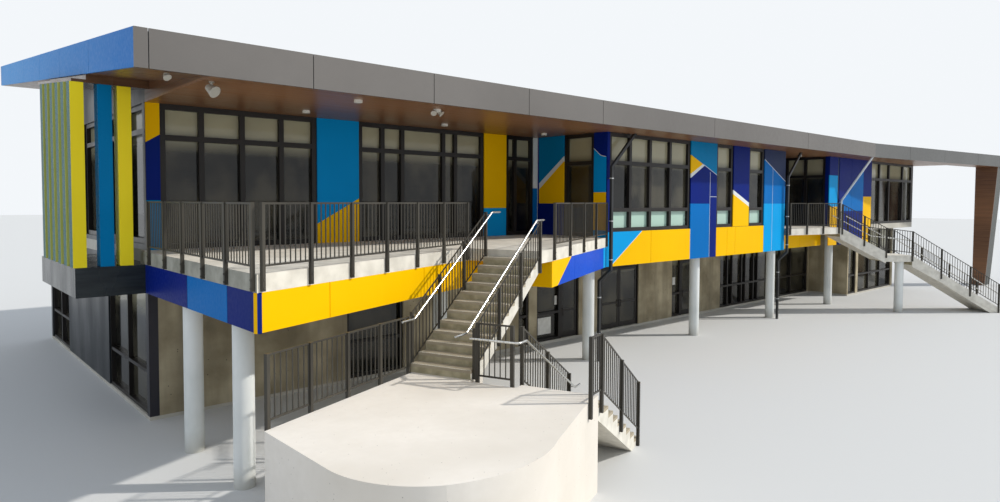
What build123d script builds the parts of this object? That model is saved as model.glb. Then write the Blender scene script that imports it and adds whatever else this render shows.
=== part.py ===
"""Two-storey school building with a raised balcony, two outside stairs and a wide flat eave.

It is a scale model at 1:2, so every size below is half of the real building's, in millimetres.
The origin is at ground level, on the front left corner of the main walls. X runs along the
front wall to the right, Y runs into the building and Z is up.
"""
import os
from math import cos, hypot, radians, sin, tan

from build123d import *

os.makedirs("parts", exist_ok=True)

# Levels
GROUND_SLAB = 40
DECK_Z = 1900
DECK_SLAB = 140
SOFFIT_Z = 3520
SOFFIT_BOARD = 25
FASCIA_DEPTH = 325
BAND_DEPTH = 308
BLOCK_SILL = 85
SPANDREL_HEIGHT = 340

# Plan of the main building
DEPTH = 6100
WALL = 100
BLOCK_LEFT = 6050
BLOCK_RIGHT = 11900
FAR_BLOCK_LEFT = 14090
GLASS_BOX_LEFT = 16650
BUILDING_RIGHT = 19820
BLOCK_PROJECTION = 1500
GROUND_RETURN_X = 16550
GROUND_RETURN_DEPTH = 1000

# Roof
EAVE_FRONT = 2090
EAVE_LEFT = 610
EAVE_REAR = 335
EAVE_RIGHT = 380
ROOF_PITCH = 6.0
ROOF_THICKNESS = 275
FASCIA_SHEET = 20
FASCIA_GAP = 8
FASCIA_JOINT_X = (-502, 940, 2360, 3810, 5230, 8100, 11600)
END_FASCIA_JOINT_Y = (-430, 1070, 2450, 3830, 5210)
KINK_X = 15175
KINK_TURN = 7.6
CANOPY_JOINTS = (1680, 3560, 5600)
CANOPY_END = 22800
BEAM_WIDTH = 560

# Tapered pillar at the far end of the canopy
PILLAR_END_GAP = 115
PILLAR_WIDTH = 580
PILLAR_HEAD = 550
PILLAR_FOOT = 310
PILLAR_CLADDING = 20

# Cladding, frames and glass
PANEL = 20
PANEL_JOINT = 6
FRAME_BAR = 26
GROUND_BAR = 40
UPPER_BAR = 60
FRAME_DEPTH = 50
FRAME_SETBACK = 20
GLASS = 8
FRAME_JOINT = 4

# Columns
COLUMN_DIAMETER = 180
COLUMN_ROW_Y = -1250
COLUMN_ROW_X = (75, 3075, 5935, 8900, 11815, 14737)
CORNER_COLUMN = (118, -2404)
LANDING_COLUMN = (1455, -150)

# Balcony, turned away from the front wall and stepping forward beyond the stair
BALCONY_CORNER = (-70, -3168)
BALCONY_TURN = 21.8
BALCONY_STEP_U = 3600
BALCONY_STEP_N = 920
BAND_SHEET = 40
SIDE_BAND_JOINTS = (1370, 2366)
FRONT_BAND_JOINTS = (817, 2299)
RIGHT_BAND_JOINTS = (955,)

# Main stair, climbing along the balcony front
STAIR_TOP_U = 3249
STAIR_LEFT_N = 270
STAIR_RISERS = 13
GOING = 134
TREAD = 26
WAIST = 90

# Podium at the foot of the main stair, as points along and in front of the balcony front
PODIUM_Z = 830
PODIUM_BACK_N = 290
PODIUM_BACK_U = -225
PODIUM_SIDE = (-544, 1110)
PODIUM_BULGE = (-600, 1500)
PODIUM_SHOULDER = (-428, 1901)
PODIUM_NOSE = (-75, 2145)
PODIUM_FRONT = (540, 2200)
PODIUM_FRONT_RIGHT = (1376, 2108)
PODIUM_STAIR_EDGE_U = 1880
PODIUM_NECK_U = 1590

# Short flight from the podium to the ground
LOWER_TOP_U = 1700
LOWER_LEFT_N = 1400
LOWER_RIGHT_N = 2108
LOWER_RISERS = 10
LOWER_GOING = 144

# Far deck in the recess, and far stair
FAR_TURN = -40.0
FAR_EDGE_LEFT_Y = -1580
FAR_STAIR_TOP = (13525, -1980)
FAR_UPPER_RISERS = 8
FAR_UPPER_GOING = 150
FAR_LOWER_RISERS = 15
FAR_LOWER_GOING = 146
FAR_WIDTH = 650
FAR_LANDING = 595
FAR_LANDING_Z = 1283
FAR_BAND_Y = 1330
FAR_BACK_POST_INSET = 95

# Guards and handrails
GUARD_HEIGHT = 540
STAIR_UP_GUARD_HEIGHT = 440
GUARD_POST = 30
GUARD_BAR = 8
GUARD_RAIL = 16
GUARD_BOTTOM = 55
BALUSTER_PITCH = 56
POST_DROP = 130
POST_INSET = 45
SIDE_GUARD_START = 385
SIDE_GUARD_BAYS = 5
FRONT_GUARD_BAYS = 6
RIGHT_GUARD_BAYS = 4
STAIR_GUARD_BAYS = 3
LOWER_GUARD_BAYS = 2
LOWER_GUARD_START = -240
PODIUM_GUARD_BAYS = 4
FAR_UPPER_BAYS = 2
FAR_GUARD_BAYS = 3
HANDRAIL_DIAMETER = 22
HANDRAIL_ABOVE = (510, 425)
HANDRAIL_STANDOFF = 45
HANDRAIL_END = 200
HANDRAIL_BEND = 40
LOWER_HANDRAIL_ABOVE = 402
BRACKET_DIAMETER = 10

# Bay with sun fins on the end wall
BAY_WIDTH = 735
BAY_INSET = 15
BAY_FRONT_Y = -190
BAY_BACK_Y = 1810
BAY_PLATE = 40
BAY_HEAD = 30
BAY_HEAD_DROP = 84
BAY_UPSTAND = 590
FIN = 122
FIN_DEPTH = 165
FIN_PITCH = 320
FIN_COUNT = 6
BAY_POST = 130
BAY_POST_X = (-490, -310)

# Doors
DOOR_HEIGHT = 1140
DOOR_LEAF = 22
DOOR_STILE = 45
DOOR_KICK = 90
DOOR_GAP = 10
DOOR_FLOOR_GAP = 6
DOOR_RAIL_Z = 520
PIVOT_DIAMETER = 10
PIVOT_INSET = 12
PIVOT_SEAT = 0.3
HANDLE_BAR = 12
HANDLE_REACH = 34
HANDLE_LENGTH = 130
HANDLE_Z = 440

# Pipes and lights
PIPE = 42
WALL_PIPE_X = 385
PIPE_STANDOFF = 48
PIPE_CORNER_INSET = 24
PIPE_ELBOW_Z = 2980
PIPE_ELBOW_RUN = 571
PIPE_OFFSET_Z = 1410
PIPE_OFFSET = (-110, 130)
PIPE_CLIP = 14
PIPE_CLIP_Z = (2150, 2800)
WHITE_PIPE = 50
WHITE_PIPE_HEAD = (15110, -2050)
WHITE_PIPE_X = 14690
WHITE_PIPE_GAP = 10
WHITE_PIPE_ELBOW_Z = 2496
WHITE_PIPE_FOOT_Z = 1480
WHITE_PIPE_CLIP_Z = (1600, 2350)
LAMP_DIAMETER = 90
LAMP_DEPTH = 30
LAMP_PLACES = ((1608, -561), (1624, -1739), (3663, -561), (5575, -614), (2686, -1704))

# Values worked out from the ones above
WALL_TOP = DECK_Z - DECK_SLAB
BAND_LOW = WALL_TOP - BAND_DEPTH
EAVE_Z = SOFFIT_Z + SOFFIT_BOARD
SLOPE = tan(radians(ROOF_PITCH))
KINK_SLOPE = tan(radians(KINK_TURN))
RISER = (DECK_Z - PODIUM_Z) / STAIR_RISERS
LOWER_RISER = PODIUM_Z / LOWER_RISERS
LOWER_RUN = (LOWER_RISERS - 1) * LOWER_GOING
FAR_UPPER_RISER = (DECK_Z - FAR_LANDING_Z) / FAR_UPPER_RISERS
FAR_UPPER_RUN = (FAR_UPPER_RISERS - 1) * FAR_UPPER_GOING
FAR_LOWER_RISER = FAR_LANDING_Z / FAR_LOWER_RISERS
FAR_LOWER_RUN = (FAR_LOWER_RISERS - 1) * FAR_LOWER_GOING
STAIR_RUN = (STAIR_RISERS - 1) * GOING
STAIR_WIDTH = BALCONY_STEP_N - STAIR_LEFT_N
LOWER_WIDTH = LOWER_RIGHT_N - LOWER_LEFT_N
CORE = WALL - PANEL
BLOCK_TOP_OF_SILL = DECK_Z + BLOCK_SILL
SPANDREL_TOP = BLOCK_TOP_OF_SILL + SPANDREL_HEIGHT
DOOR_HEAD = GROUND_SLAB + DOOR_FLOOR_GAP + DOOR_HEIGHT + DOOR_GAP
ROOF_LEFT = -EAVE_LEFT + FASCIA_SHEET
ROOF_RIGHT = BUILDING_RIGHT + EAVE_RIGHT - FASCIA_SHEET
ROOF_FRONT = -EAVE_FRONT + FASCIA_SHEET
ROOF_BACK = DEPTH + EAVE_REAR - FASCIA_SHEET
PILLAR_X = CANOPY_END - PILLAR_WIDTH - PILLAR_END_GAP


def roof_underside(y):
    """Height of the sloping roof slab's underside over a point of the plan."""
    return EAVE_Z + (y + EAVE_FRONT) * SLOPE


def canopy_front(x):
    """Plan line of the fascia's outer face right of its kink."""
    return -EAVE_FRONT - (x - KINK_X) * KINK_SLOPE


def turned(origin, turn, u, n):
    """Point at u along and n in front of a line through origin that is turned from the facade."""
    angle = radians(turn)
    x = origin[0] + u * cos(angle) + n * sin(angle)
    y = origin[1] + u * sin(angle) - n * cos(angle)
    return (x, y)


def balcony(u, n):
    """Point of the plan, u along the balcony front from its left corner and n in front of it."""
    return turned(BALCONY_CORNER, BALCONY_TURN, u, n)


def far(u, n):
    """Point of the plan, u down the far stair from its top and n in front of its near side."""
    return turned(FAR_STAIR_TOP, FAR_TURN, u, n)


def prism(points, z_low, z_high):
    """Upright prism over a polygon of the plan."""
    wire = Wire.make_polygon([(x, y, z_low) for x, y in points], close=True)
    return Solid.extrude(Face(wire), (0, 0, z_high - z_low))


def block(x, y, z):
    """Box between two values on each axis."""
    return prism([(x[0], y[0]), (x[1], y[0]), (x[1], y[1]), (x[0], y[1])], z[0], z[1])


def wall_run(start, end):
    """Upright plane through two points of the plan, with the building on its left hand."""
    length = hypot(end[0] - start[0], end[1] - start[1])
    along = ((end[0] - start[0]) / length, (end[1] - start[1]) / length, 0)
    outward = (along[1], -along[0], 0)
    return Plane(origin=(start[0], start[1], 0), x_dir=along, z_dir=outward)


def sheet(run, outline, holes, outer, thickness):
    """Plate on a wall run, from outer (positive is outward) inwards by its thickness."""
    def wire(points):
        placed = [run.from_local_coords((s, z, outer)) for s, z in points]
        return Wire.make_polygon(placed, close=True)
    face = Face(wire(outline), [wire(hole) for hole in holes])
    return Solid.extrude(face, run.z_dir * -thickness)


def rectangle(s_low, s_high, z_low, z_high):
    """Corner list of an upright rectangle."""
    return [(s_low, z_low), (s_high, z_low), (s_high, z_high), (s_low, z_high)]


def slab_on_run(run, s, z, outer, thickness):
    """Plain rectangular plate on a wall run."""
    return sheet(run, rectangle(s[0], s[1], z[0], z[1]), [], outer, thickness)


def lights_between(stops_s, stops_z, bar):
    """Clear rectangles between the bars of a frame, whose centre lines are the stops."""
    half = bar / 2
    holes = []
    for left, right in zip(stops_s, stops_s[1:]):
        for low, high in zip(stops_z, stops_z[1:]):
            holes.append(rectangle(left + half, right - half, low + half, high - half))
    return holes


def window_frame(run, s, z, mullions, transoms, bar):
    """Frame of one glazed unit, with upright bars at mullions and level bars at transoms."""
    half = bar / 2
    stops_s = [s[0] + half] + list(mullions) + [s[1] - half]
    stops_z = [z[0] + half] + list(transoms) + [z[1] - half]
    holes = lights_between(stops_s, stops_z, bar)
    return sheet(run, rectangle(s[0], s[1], z[0], z[1]), holes, -FRAME_SETBACK, FRAME_DEPTH)


def window_glass(run, s, z):
    """Sheet of glass behind the bars of one glazed unit."""
    edge = FRAME_BAR / 2
    outer = -(FRAME_SETBACK + FRAME_DEPTH)
    return slab_on_run(run, (s[0] + edge, s[1] - edge), (z[0] + edge, z[1] - edge), outer, GLASS)


def even_stops(s, count):
    """Places of the bars that divide a width into count equal lights."""
    return [s[0] + (s[1] - s[0]) * i / count for i in range(1, count)]


def spread(low, high, bays):
    """Places of posts that divide a length into equal bays, both ends included."""
    return [low + (high - low) * i / bays for i in range(bays + 1)]


def gaps_between(s, openings):
    """Spans of a run that its openings leave closed."""
    spans = []
    start = s[0]
    for low, high in list(openings) + [(s[1], s[1])]:
        if low - start > 1:
            spans.append((start, low))
        start = high
    return spans


def piers(run, s, openings, z, outer, thickness):
    """Wall pieces between the openings of a run, each from z low to z high."""
    return [slab_on_run(run, span, z, outer, thickness) for span in gaps_between(s, openings)]


def mitred_corners(path, distance):
    """Corners of a plan path moved to its left hand by a distance, with mitred turns."""
    moved = []
    legs = []
    for start, end in zip(path, path[1:]):
        length = hypot(end[0] - start[0], end[1] - start[1])
        legs.append((-(end[1] - start[1]) / length, (end[0] - start[0]) / length))
    for i, (x, y) in enumerate(path):
        before = legs[max(i - 1, 0)]
        after = legs[min(i, len(legs) - 1)]
        spread_of_turn = 1 + before[0] * after[0] + before[1] * after[1]
        scale = distance / spread_of_turn
        moved.append((x + (before[0] + after[0]) * scale, y + (before[1] + after[1]) * scale))
    return moved


def strip(path, thickness, joints, gap, z):
    """Upright sheets along a plan path, cut by joints given for each leg from its start."""
    inner = mitred_corners(path, thickness)
    solids = []
    for i, (start, end) in enumerate(zip(path, path[1:])):
        length = hypot(end[0] - start[0], end[1] - start[1])
        along = ((end[0] - start[0]) / length, (end[1] - start[1]) / length)

        def outer_point(s):
            return (start[0] + along[0] * s, start[1] + along[1] * s)

        def inner_point(s):
            x, y = outer_point(s)
            return (x - along[1] * thickness, y + along[0] * thickness)

        edges = [(start, inner[i])]
        for joint in joints[i]:
            for side in (joint - gap / 2, joint + gap / 2):
                edges.append((outer_point(side), inner_point(side)))
        edges.append((end, inner[i + 1]))
        for left, right in zip(edges[::2], edges[1::2]):
            solids.append(prism([left[0], right[0], right[1], left[1]], z[0], z[1]))
    return solids


def square_pipe(points, width):
    """Square pipe along a bent line, with mitred bends."""
    path = Polyline(*points)
    section = Plane(origin=path @ 0, z_dir=path % 0) * Rectangle(width, width)
    return sweep(section, path=path, transition=Transition.RIGHT).solids()[0]


def save(name, shape):
    """Write one node, from one solid or a list of solids."""
    if isinstance(shape, list):
        shape = shape[0] if len(shape) == 1 else Compound(children=shape)
    export_step(shape, "parts/" + name + ".step")


# Wall runs, all with the rooms on the left hand
FRONT = wall_run((0, 0), (BUILDING_RIGHT, 0))
BLOCK_SIDE = wall_run((BLOCK_LEFT, 0), (BLOCK_LEFT, -BLOCK_PROJECTION))
BLOCK_FRONT = wall_run((BLOCK_LEFT, -BLOCK_PROJECTION), (BLOCK_RIGHT, -BLOCK_PROJECTION))
BLOCK_FAR_SIDE = wall_run((BLOCK_RIGHT, -BLOCK_PROJECTION), (BLOCK_RIGHT, 0))
FAR_SIDE = wall_run((FAR_BLOCK_LEFT, 0), (FAR_BLOCK_LEFT, -BLOCK_PROJECTION))
FAR_FRONT = wall_run((FAR_BLOCK_LEFT, -BLOCK_PROJECTION), (BUILDING_RIGHT, -BLOCK_PROJECTION))
END = wall_run((0, DEPTH), (0, 0))
REAR = wall_run((BUILDING_RIGHT, DEPTH), (0, DEPTH))
RIGHT = wall_run((BUILDING_RIGHT, -BLOCK_PROJECTION), (BUILDING_RIGHT, DEPTH))
GROUND_RETURN = wall_run((GROUND_RETURN_X, 0), (GROUND_RETURN_X, -GROUND_RETURN_DEPTH))
GROUND_FAR = wall_run(
    (GROUND_RETURN_X, -GROUND_RETURN_DEPTH), (BUILDING_RIGHT, -GROUND_RETURN_DEPTH))
BALCONY_FRONT = wall_run(balcony(0, 0), balcony(BALCONY_STEP_U, 0))
BALCONY_SIDE = wall_run((BALCONY_CORNER[0], 0), BALCONY_CORNER)
BALCONY_RIGHT = wall_run(
    balcony(BALCONY_STEP_U, BALCONY_STEP_N), (BLOCK_LEFT, -BLOCK_PROJECTION))
STAIR_DOWN = wall_run(balcony(STAIR_TOP_U, STAIR_LEFT_N), balcony(0, STAIR_LEFT_N))
STAIR_UP = wall_run(
    balcony(STAIR_TOP_U - STAIR_RUN, BALCONY_STEP_N), balcony(STAIR_TOP_U, BALCONY_STEP_N))
LOWER_DOWN = wall_run(balcony(LOWER_TOP_U, LOWER_RIGHT_N), balcony(BALCONY_STEP_U, LOWER_RIGHT_N))
LOWER_LEFT_UP = wall_run(
    balcony(BALCONY_STEP_U, LOWER_LEFT_N), balcony(LOWER_TOP_U, LOWER_LEFT_N))
FAR_DOWN = wall_run(far(0, 0), far(1, 0))
FAR_BACK_UP = wall_run(far(0, -FAR_WIDTH), far(-1, -FAR_WIDTH))
FAR_EDGE = wall_run((BLOCK_RIGHT, FAR_EDGE_LEFT_Y), FAR_STAIR_TOP)

# Glazed units of the ground floor, by their start and end along the run
FRONT_PANES = ((2450, 3350), (5630, 5870))
SIDELIGHTS = ((6060, 6660), (10050, 10400))
DOORWAYS = ((6660, 7130), (7740, 8900), (10400, 10880))
LONG_PANE = (DOORWAYS[2][1] + 1070, GROUND_RETURN_X - 100)
LONG_PANE_SHARES = (0.080, 0.129, 0.224, 0.264, 0.350, 0.396, 0.522, 0.656, 0.789)
GROUND_FAR_UNITS = ((60, 560), (700, 3130))
GROUND_END_UNITS = ((110, 1600), (DEPTH - 1850, DEPTH - WALL))
LIGHT_WIDTH = 800
CASEMENTS = 3
REAR_UNITS = 6
REAR_UNIT_WIDTH = 2000
RIGHT_UNITS = ((1900, 3700), (4700, 6500))

# Glazed units of the upper floor
MAIN_UNITS = ((150, 2030), (2645, 4870), (5345, 5955), (12300, 13700))
MAIN_MULLIONS = ((600, 1073, 1562), (3031, 3361, 4092, 4318), (5560,), (12770, 13230))
MAIN_TRANSOM = 3150
SIDE_UNIT = (605, 1230)
BLOCK_UNITS = ((70, 2290), (3150, 3740), (4340, 4945))
BLOCK_MULLIONS = ((606, 1137, 1702), (), ())
BLOCK_TRANSOM = 3060
FAR_SIDE_UNIT = (450, 1400)
GLASS_BOX_UNIT = (GLASS_BOX_LEFT - FAR_BLOCK_LEFT, BUILDING_RIGHT - FAR_BLOCK_LEFT - WALL)
GLASS_BOX_MULLIONS = (3178, 3866, 4907)
UPPER_END_UNIT = (DEPTH - 3100, DEPTH - 110)
UPPER_END_LOW = DECK_Z + 60
UPPER_END_LIGHTS = 4
UPPER_END_TRANSOM = 3220
REAR_UPPER_SILL = 900
REAR_SILL = 500
REAR_HEAD = 160

# Cladding panels of the upper floor, by their start and end along the run
MAIN_PANELS = ((0, 150), (2030, 2645), (4870, 5345), (5955, 6050), (11900, 12300), (13700, 14090))
SIDE_PANELS = ((0, 37), (37, 605), (1230, 1480))
BLOCK_TALL_PANELS = ((2290, 3150), (4945, 5850))
BLOCK_SHORT_PANELS = ((0, 70), (3740, 4340))
BLOCK_BAND_SPANS = ((0, 2290), (3150, 4945))
FAR_SIDE_PANELS = ((0, 450), (1400, 1480))
FAR_PANELS = ((0, 520), (520, 1290), (1290, 2028), (2028, 2560))


def ground_slab():
    """Concrete floor on the ground, over the whole enclosed plan."""
    outline = [
        (0, 0), (GROUND_RETURN_X, 0), (GROUND_RETURN_X, -GROUND_RETURN_DEPTH),
        (BUILDING_RIGHT, -GROUND_RETURN_DEPTH), (BUILDING_RIGHT, DEPTH), (0, DEPTH),
    ]
    return prism(outline, 0, GROUND_SLAB)


def rear_spans():
    """Start and end of each glazed unit of the rear wall."""
    pitch = BUILDING_RIGHT / REAR_UNITS
    margin = (pitch - REAR_UNIT_WIDTH) / 2
    return [(i * pitch + margin, (i + 1) * pitch - margin) for i in range(REAR_UNITS)]


def ground_z():
    """Bottom and top of the ground floor's walls."""
    return (GROUND_SLAB, WALL_TOP)


def ground_openings():
    """Every opening of the ground floor's front, from left to right."""
    spans = list(FRONT_PANES) + [LONG_PANE]
    spans.append((SIDELIGHTS[0][0], DOORWAYS[0][1]))
    spans.append(DOORWAYS[1])
    spans.append((SIDELIGHTS[1][0], DOORWAYS[2][1]))
    return sorted(spans)


def ground_front_wall():
    """Precast concrete piers of the ground floor's front, between the glazed units."""
    return piers(FRONT, (WALL, GROUND_RETURN_X), ground_openings(), ground_z(), 0, WALL)


def ground_corner_post():
    """Dark post on the front left corner."""
    return block((0, WALL), (0, WALL), ground_z())


def ground_far_wall():
    """Return wall and piers of the ground floor under the far block."""
    length = BUILDING_RIGHT - GROUND_RETURN_X
    solids = [slab_on_run(GROUND_RETURN, (0, GROUND_RETURN_DEPTH - WALL), ground_z(), 0, WALL)]
    solids += piers(GROUND_FAR, (0, length), GROUND_FAR_UNITS, ground_z(), 0, WALL)
    return solids


def end_wall_lower():
    """Ground floor of the left end wall, between its glazed units."""
    return piers(END, (WALL, DEPTH - WALL), GROUND_END_UNITS, ground_z(), 0, WALL)


def plate_with_windows(run, s, z, windows, outer, thickness):
    """Wall plate whose windows are cut out, each given as a span and a pair of heights."""
    holes = [rectangle(span[0], span[1], heights[0], heights[1]) for span, heights in windows]
    return sheet(run, rectangle(s[0], s[1], z[0], z[1]), holes, outer, thickness)


def rear_lower_windows():
    """Windows of the rear wall's ground floor."""
    low, high = ground_z()
    return [(span, (low + REAR_SILL, high - REAR_HEAD)) for span in rear_spans()]


def rear_upper_windows():
    """Windows of the rear wall's upper floor."""
    high = roof_underside(DEPTH - WALL) - REAR_HEAD
    return [(span, (DECK_Z + REAR_UPPER_SILL, high - REAR_HEAD)) for span in rear_spans()]


def right_windows(level):
    """Windows of the right end wall on one storey."""
    low, high = ground_z() if level == 0 else (DECK_Z, SOFFIT_Z)
    return [(span, (low + REAR_SILL, high - REAR_HEAD)) for span in RIGHT_UNITS]


def rear_wall_lower():
    """Ground floor of the rear wall, with its windows cut through."""
    windows = rear_lower_windows()
    return plate_with_windows(REAR, (0, BUILDING_RIGHT), ground_z(), windows, 0, WALL)


def right_wall_lower():
    """Ground floor of the right end wall."""
    start = BLOCK_PROJECTION - GROUND_RETURN_DEPTH + WALL
    span = (start, BLOCK_PROJECTION + DEPTH - WALL)
    return plate_with_windows(RIGHT, span, ground_z(), right_windows(0), 0, WALL)


def ground_fixed_units():
    """Run, span, heights, mullions and transoms of the fixed glazing on the ground floor."""
    z = ground_z()
    rail = [DOOR_RAIL_Z]
    units = []
    for span in FRONT_PANES:
        units.append((FRONT, span, z, [], rail))
    for low, high in SIDELIGHTS:
        units.append((FRONT, (low, high - FRAME_JOINT), z, [], rail))
    width = LONG_PANE[1] - LONG_PANE[0]
    mullions = [LONG_PANE[0] + share * width for share in LONG_PANE_SHARES]
    units.append((FRONT, LONG_PANE, z, mullions, rail))
    for span in GROUND_FAR_UNITS + GROUND_END_UNITS:
        run = GROUND_FAR if span in GROUND_FAR_UNITS else END
        count = max(round((span[1] - span[0]) / LIGHT_WIDTH), 1)
        units.append((run, span, z, even_stops(span, count), rail))
    for span, heights in rear_lower_windows():
        units.append((REAR, span, heights, even_stops(span, CASEMENTS), []))
    for span, heights in right_windows(0):
        units.append((RIGHT, span, heights, even_stops(span, CASEMENTS), []))
    return units


def frames_of(units, bar):
    """Window frames of a list of units, all of one width of bar."""
    return [window_frame(run, span, z, bars, rails, bar) for run, span, z, bars, rails in units]


def glass_of(units):
    """Glass sheets of a list of units."""
    return [window_glass(run, span, z) for run, span, z, bars, rails in units]


def overlight_units():
    """Fixed lights over the doorways."""
    z = (DOOR_HEAD, WALL_TOP)
    units = []
    for span in DOORWAYS:
        middle = [(span[0] + span[1]) / 2] if span == DOORWAYS[1] else []
        units.append((FRONT, span, z, middle, []))
    return units


def door_jambs():
    """Upright bars of the doorways, from the floor to the joint under the overlight."""
    z = (GROUND_SLAB, DOOR_HEAD - FRAME_JOINT)
    solids = []
    for low, high in DOORWAYS:
        for s in ((low, low + FRAME_BAR), (high - FRAME_BAR, high)):
            solids.append(slab_on_run(FRONT, s, z, -FRAME_SETBACK, FRAME_DEPTH))
    return solids


def ground_frames():
    """Frames of the ground floor's fixed glazing and its doorways."""
    return frames_of(ground_fixed_units() + overlight_units(), GROUND_BAR) + door_jambs()


def door_spans():
    """Start, end and side of the pivot of each leaf, in the order of the doors."""
    spans = []
    for doorway, (low, high) in enumerate(DOORWAYS):
        inner = (low + FRAME_BAR + DOOR_GAP, high - FRAME_BAR - DOOR_GAP)
        if doorway == 1:
            middle = (low + high) / 2
            spans.append((inner[0], middle - DOOR_GAP / 2, "left"))
            spans.append((middle + DOOR_GAP / 2, inner[1], "right"))
        else:
            spans.append((inner[0], inner[1], "right"))
    return spans


def door_lights(low, high):
    """Clear openings of a leaf between its stiles and rails."""
    bottom = GROUND_SLAB + DOOR_FLOOR_GAP
    top = bottom + DOOR_HEIGHT
    half = DOOR_STILE / 2
    return [
        rectangle(low + DOOR_STILE, high - DOOR_STILE, bottom + DOOR_KICK, DOOR_RAIL_Z - half),
        rectangle(low + DOOR_STILE, high - DOOR_STILE, DOOR_RAIL_Z + half, top - DOOR_STILE),
    ]


def door_leaf(low, high, side):
    """Glazed leaf with its pivots and its pull handles, one on each face."""
    bottom = GROUND_SLAB + DOOR_FLOOR_GAP
    top = bottom + DOOR_HEIGHT
    outer = -FRAME_SETBACK - (FRAME_DEPTH - DOOR_LEAF) / 2
    leaf = sheet(FRONT, rectangle(low, high, bottom, top), door_lights(low, high), outer, DOOR_LEAF)
    pivot_s = low + PIVOT_INSET if side == "left" else high - PIVOT_INSET
    handle_s = high - DOOR_STILE / 2 if side == "left" else low + DOOR_STILE / 2
    middle_y = -outer + DOOR_LEAF / 2
    length = DOOR_FLOOR_GAP - PIVOT_SEAT
    foot = Plane(origin=(pivot_s, middle_y, bottom - length))
    head = Plane(origin=(pivot_s, middle_y, top))
    head_length = DOOR_GAP - PIVOT_SEAT
    leaf = leaf.fuse(Solid.make_cylinder(PIVOT_DIAMETER / 2, length, foot))
    leaf = leaf.fuse(Solid.make_cylinder(PIVOT_DIAMETER / 2, head_length, head))
    half = HANDLE_BAR / 2
    reach = DOOR_LEAF / 2 + HANDLE_REACH
    s = (handle_s - half, handle_s + half)
    for z in (HANDLE_Z, HANDLE_Z + HANDLE_LENGTH - HANDLE_BAR):
        leaf = leaf.fuse(block(s, (middle_y - reach, middle_y + reach), (z, z + HANDLE_BAR)))
    for y in (middle_y - reach, middle_y + reach - HANDLE_BAR):
        grip = block(s, (y, y + HANDLE_BAR), (HANDLE_Z, HANDLE_Z + HANDLE_LENGTH))
        leaf = leaf.fuse(grip)
    return leaf


def door_glass(low, high):
    """Two panes of a leaf, in the middle of its thickness."""
    outer = -FRAME_SETBACK - (FRAME_DEPTH - GLASS) / 2
    return [sheet(FRONT, light, [], outer, GLASS) for light in door_lights(low, high)]


def columns():
    """Round columns under the balcony, the blocks and the far stair's landing."""
    places = [(x, COLUMN_ROW_Y) for x in COLUMN_ROW_X] + [CORNER_COLUMN]
    solids = [Solid.make_cylinder(COLUMN_DIAMETER / 2, WALL_TOP, Plane(origin=(x, y, 0)))
              for x, y in places]
    x, y = far(*LANDING_COLUMN)
    height = FAR_LANDING_Z - DECK_SLAB
    solids.append(Solid.make_cylinder(COLUMN_DIAMETER / 2, height, Plane(origin=(x, y, 0))))
    return solids


def upper_floor_slab():
    """Concrete slab between the two storeys."""
    return block((0, BUILDING_RIGHT), (0, DEPTH), (WALL_TOP, DECK_Z))


def block_slabs():
    """Floor slabs of the two blocks that project over the walkway."""
    y = (-BLOCK_PROJECTION + PANEL, 0)
    z = (WALL_TOP, DECK_Z)
    return [block((BLOCK_LEFT, BLOCK_RIGHT), y, z), block((FAR_BLOCK_LEFT, BUILDING_RIGHT), y, z)]


def balcony_slab():
    """Balcony deck with the landing at the head of the main stair."""
    x = BALCONY_CORNER[0]
    outline = [
        (x, 0), BALCONY_CORNER, balcony(STAIR_TOP_U, 0), balcony(STAIR_TOP_U, BALCONY_STEP_N),
        balcony(BALCONY_STEP_U, BALCONY_STEP_N), (BLOCK_LEFT, -BLOCK_PROJECTION), (BLOCK_LEFT, 0),
    ]
    return prism(outline, WALL_TOP, DECK_Z)


def far_deck():
    """Deck of the recess between the two blocks."""
    outline = [
        (BLOCK_RIGHT, 0), (BLOCK_RIGHT, FAR_EDGE_LEFT_Y), FAR_STAIR_TOP, far(0, -FAR_WIDTH),
        (FAR_BLOCK_LEFT, -BLOCK_PROJECTION + PANEL), (FAR_BLOCK_LEFT, 0),
    ]
    return prism(outline, WALL_TOP, DECK_Z)


def balcony_bands():
    """Coloured sheets under the edge of the balcony."""
    x = BALCONY_CORNER[0]
    path = [
        (x, BAY_FRONT_Y), BALCONY_CORNER, balcony(BALCONY_STEP_U, 0),
        balcony(BALCONY_STEP_U, BALCONY_STEP_N), (BLOCK_LEFT, -BLOCK_PROJECTION),
    ]
    joints = [SIDE_BAND_JOINTS, FRONT_BAND_JOINTS, (), RIGHT_BAND_JOINTS]
    return strip(path, BAND_SHEET, joints, PANEL_JOINT, (BAND_LOW, WALL_TOP))


def far_deck_band():
    """Coloured sheet under the deck of the recess."""
    x = (BLOCK_RIGHT, FAR_BLOCK_LEFT - PANEL_JOINT)
    y = (-FAR_BAND_Y, -FAR_BAND_Y + BAND_SHEET)
    return block(x, y, (BAND_LOW, WALL_TOP))


def bay_base():
    """Dark box under the sun fins of the end wall."""
    x = (-BAY_WIDTH + BAY_INSET, 0)
    corner = BALCONY_CORNER[0]
    outline = [
        (x[0], BAY_FRONT_Y), (corner, BAY_FRONT_Y), (corner, 0), (0, 0), (0, BAY_BACK_Y),
        (x[0], BAY_BACK_Y),
    ]
    box = prism(outline, BAND_LOW, WALL_TOP)
    inner = block((x[0] + BAY_PLATE, corner - BAY_PLATE), (BAY_FRONT_Y + BAY_PLATE,
                  BAY_BACK_Y - BAY_PLATE), (BAND_LOW + BAY_PLATE, WALL_TOP - BAY_PLATE))
    return box.cut(inner)


def bay_top(y):
    """Height of the underside of the bay's head plate, which follows the roof."""
    return roof_underside(y) - SOFFIT_BOARD - BAY_HEAD_DROP


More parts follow.
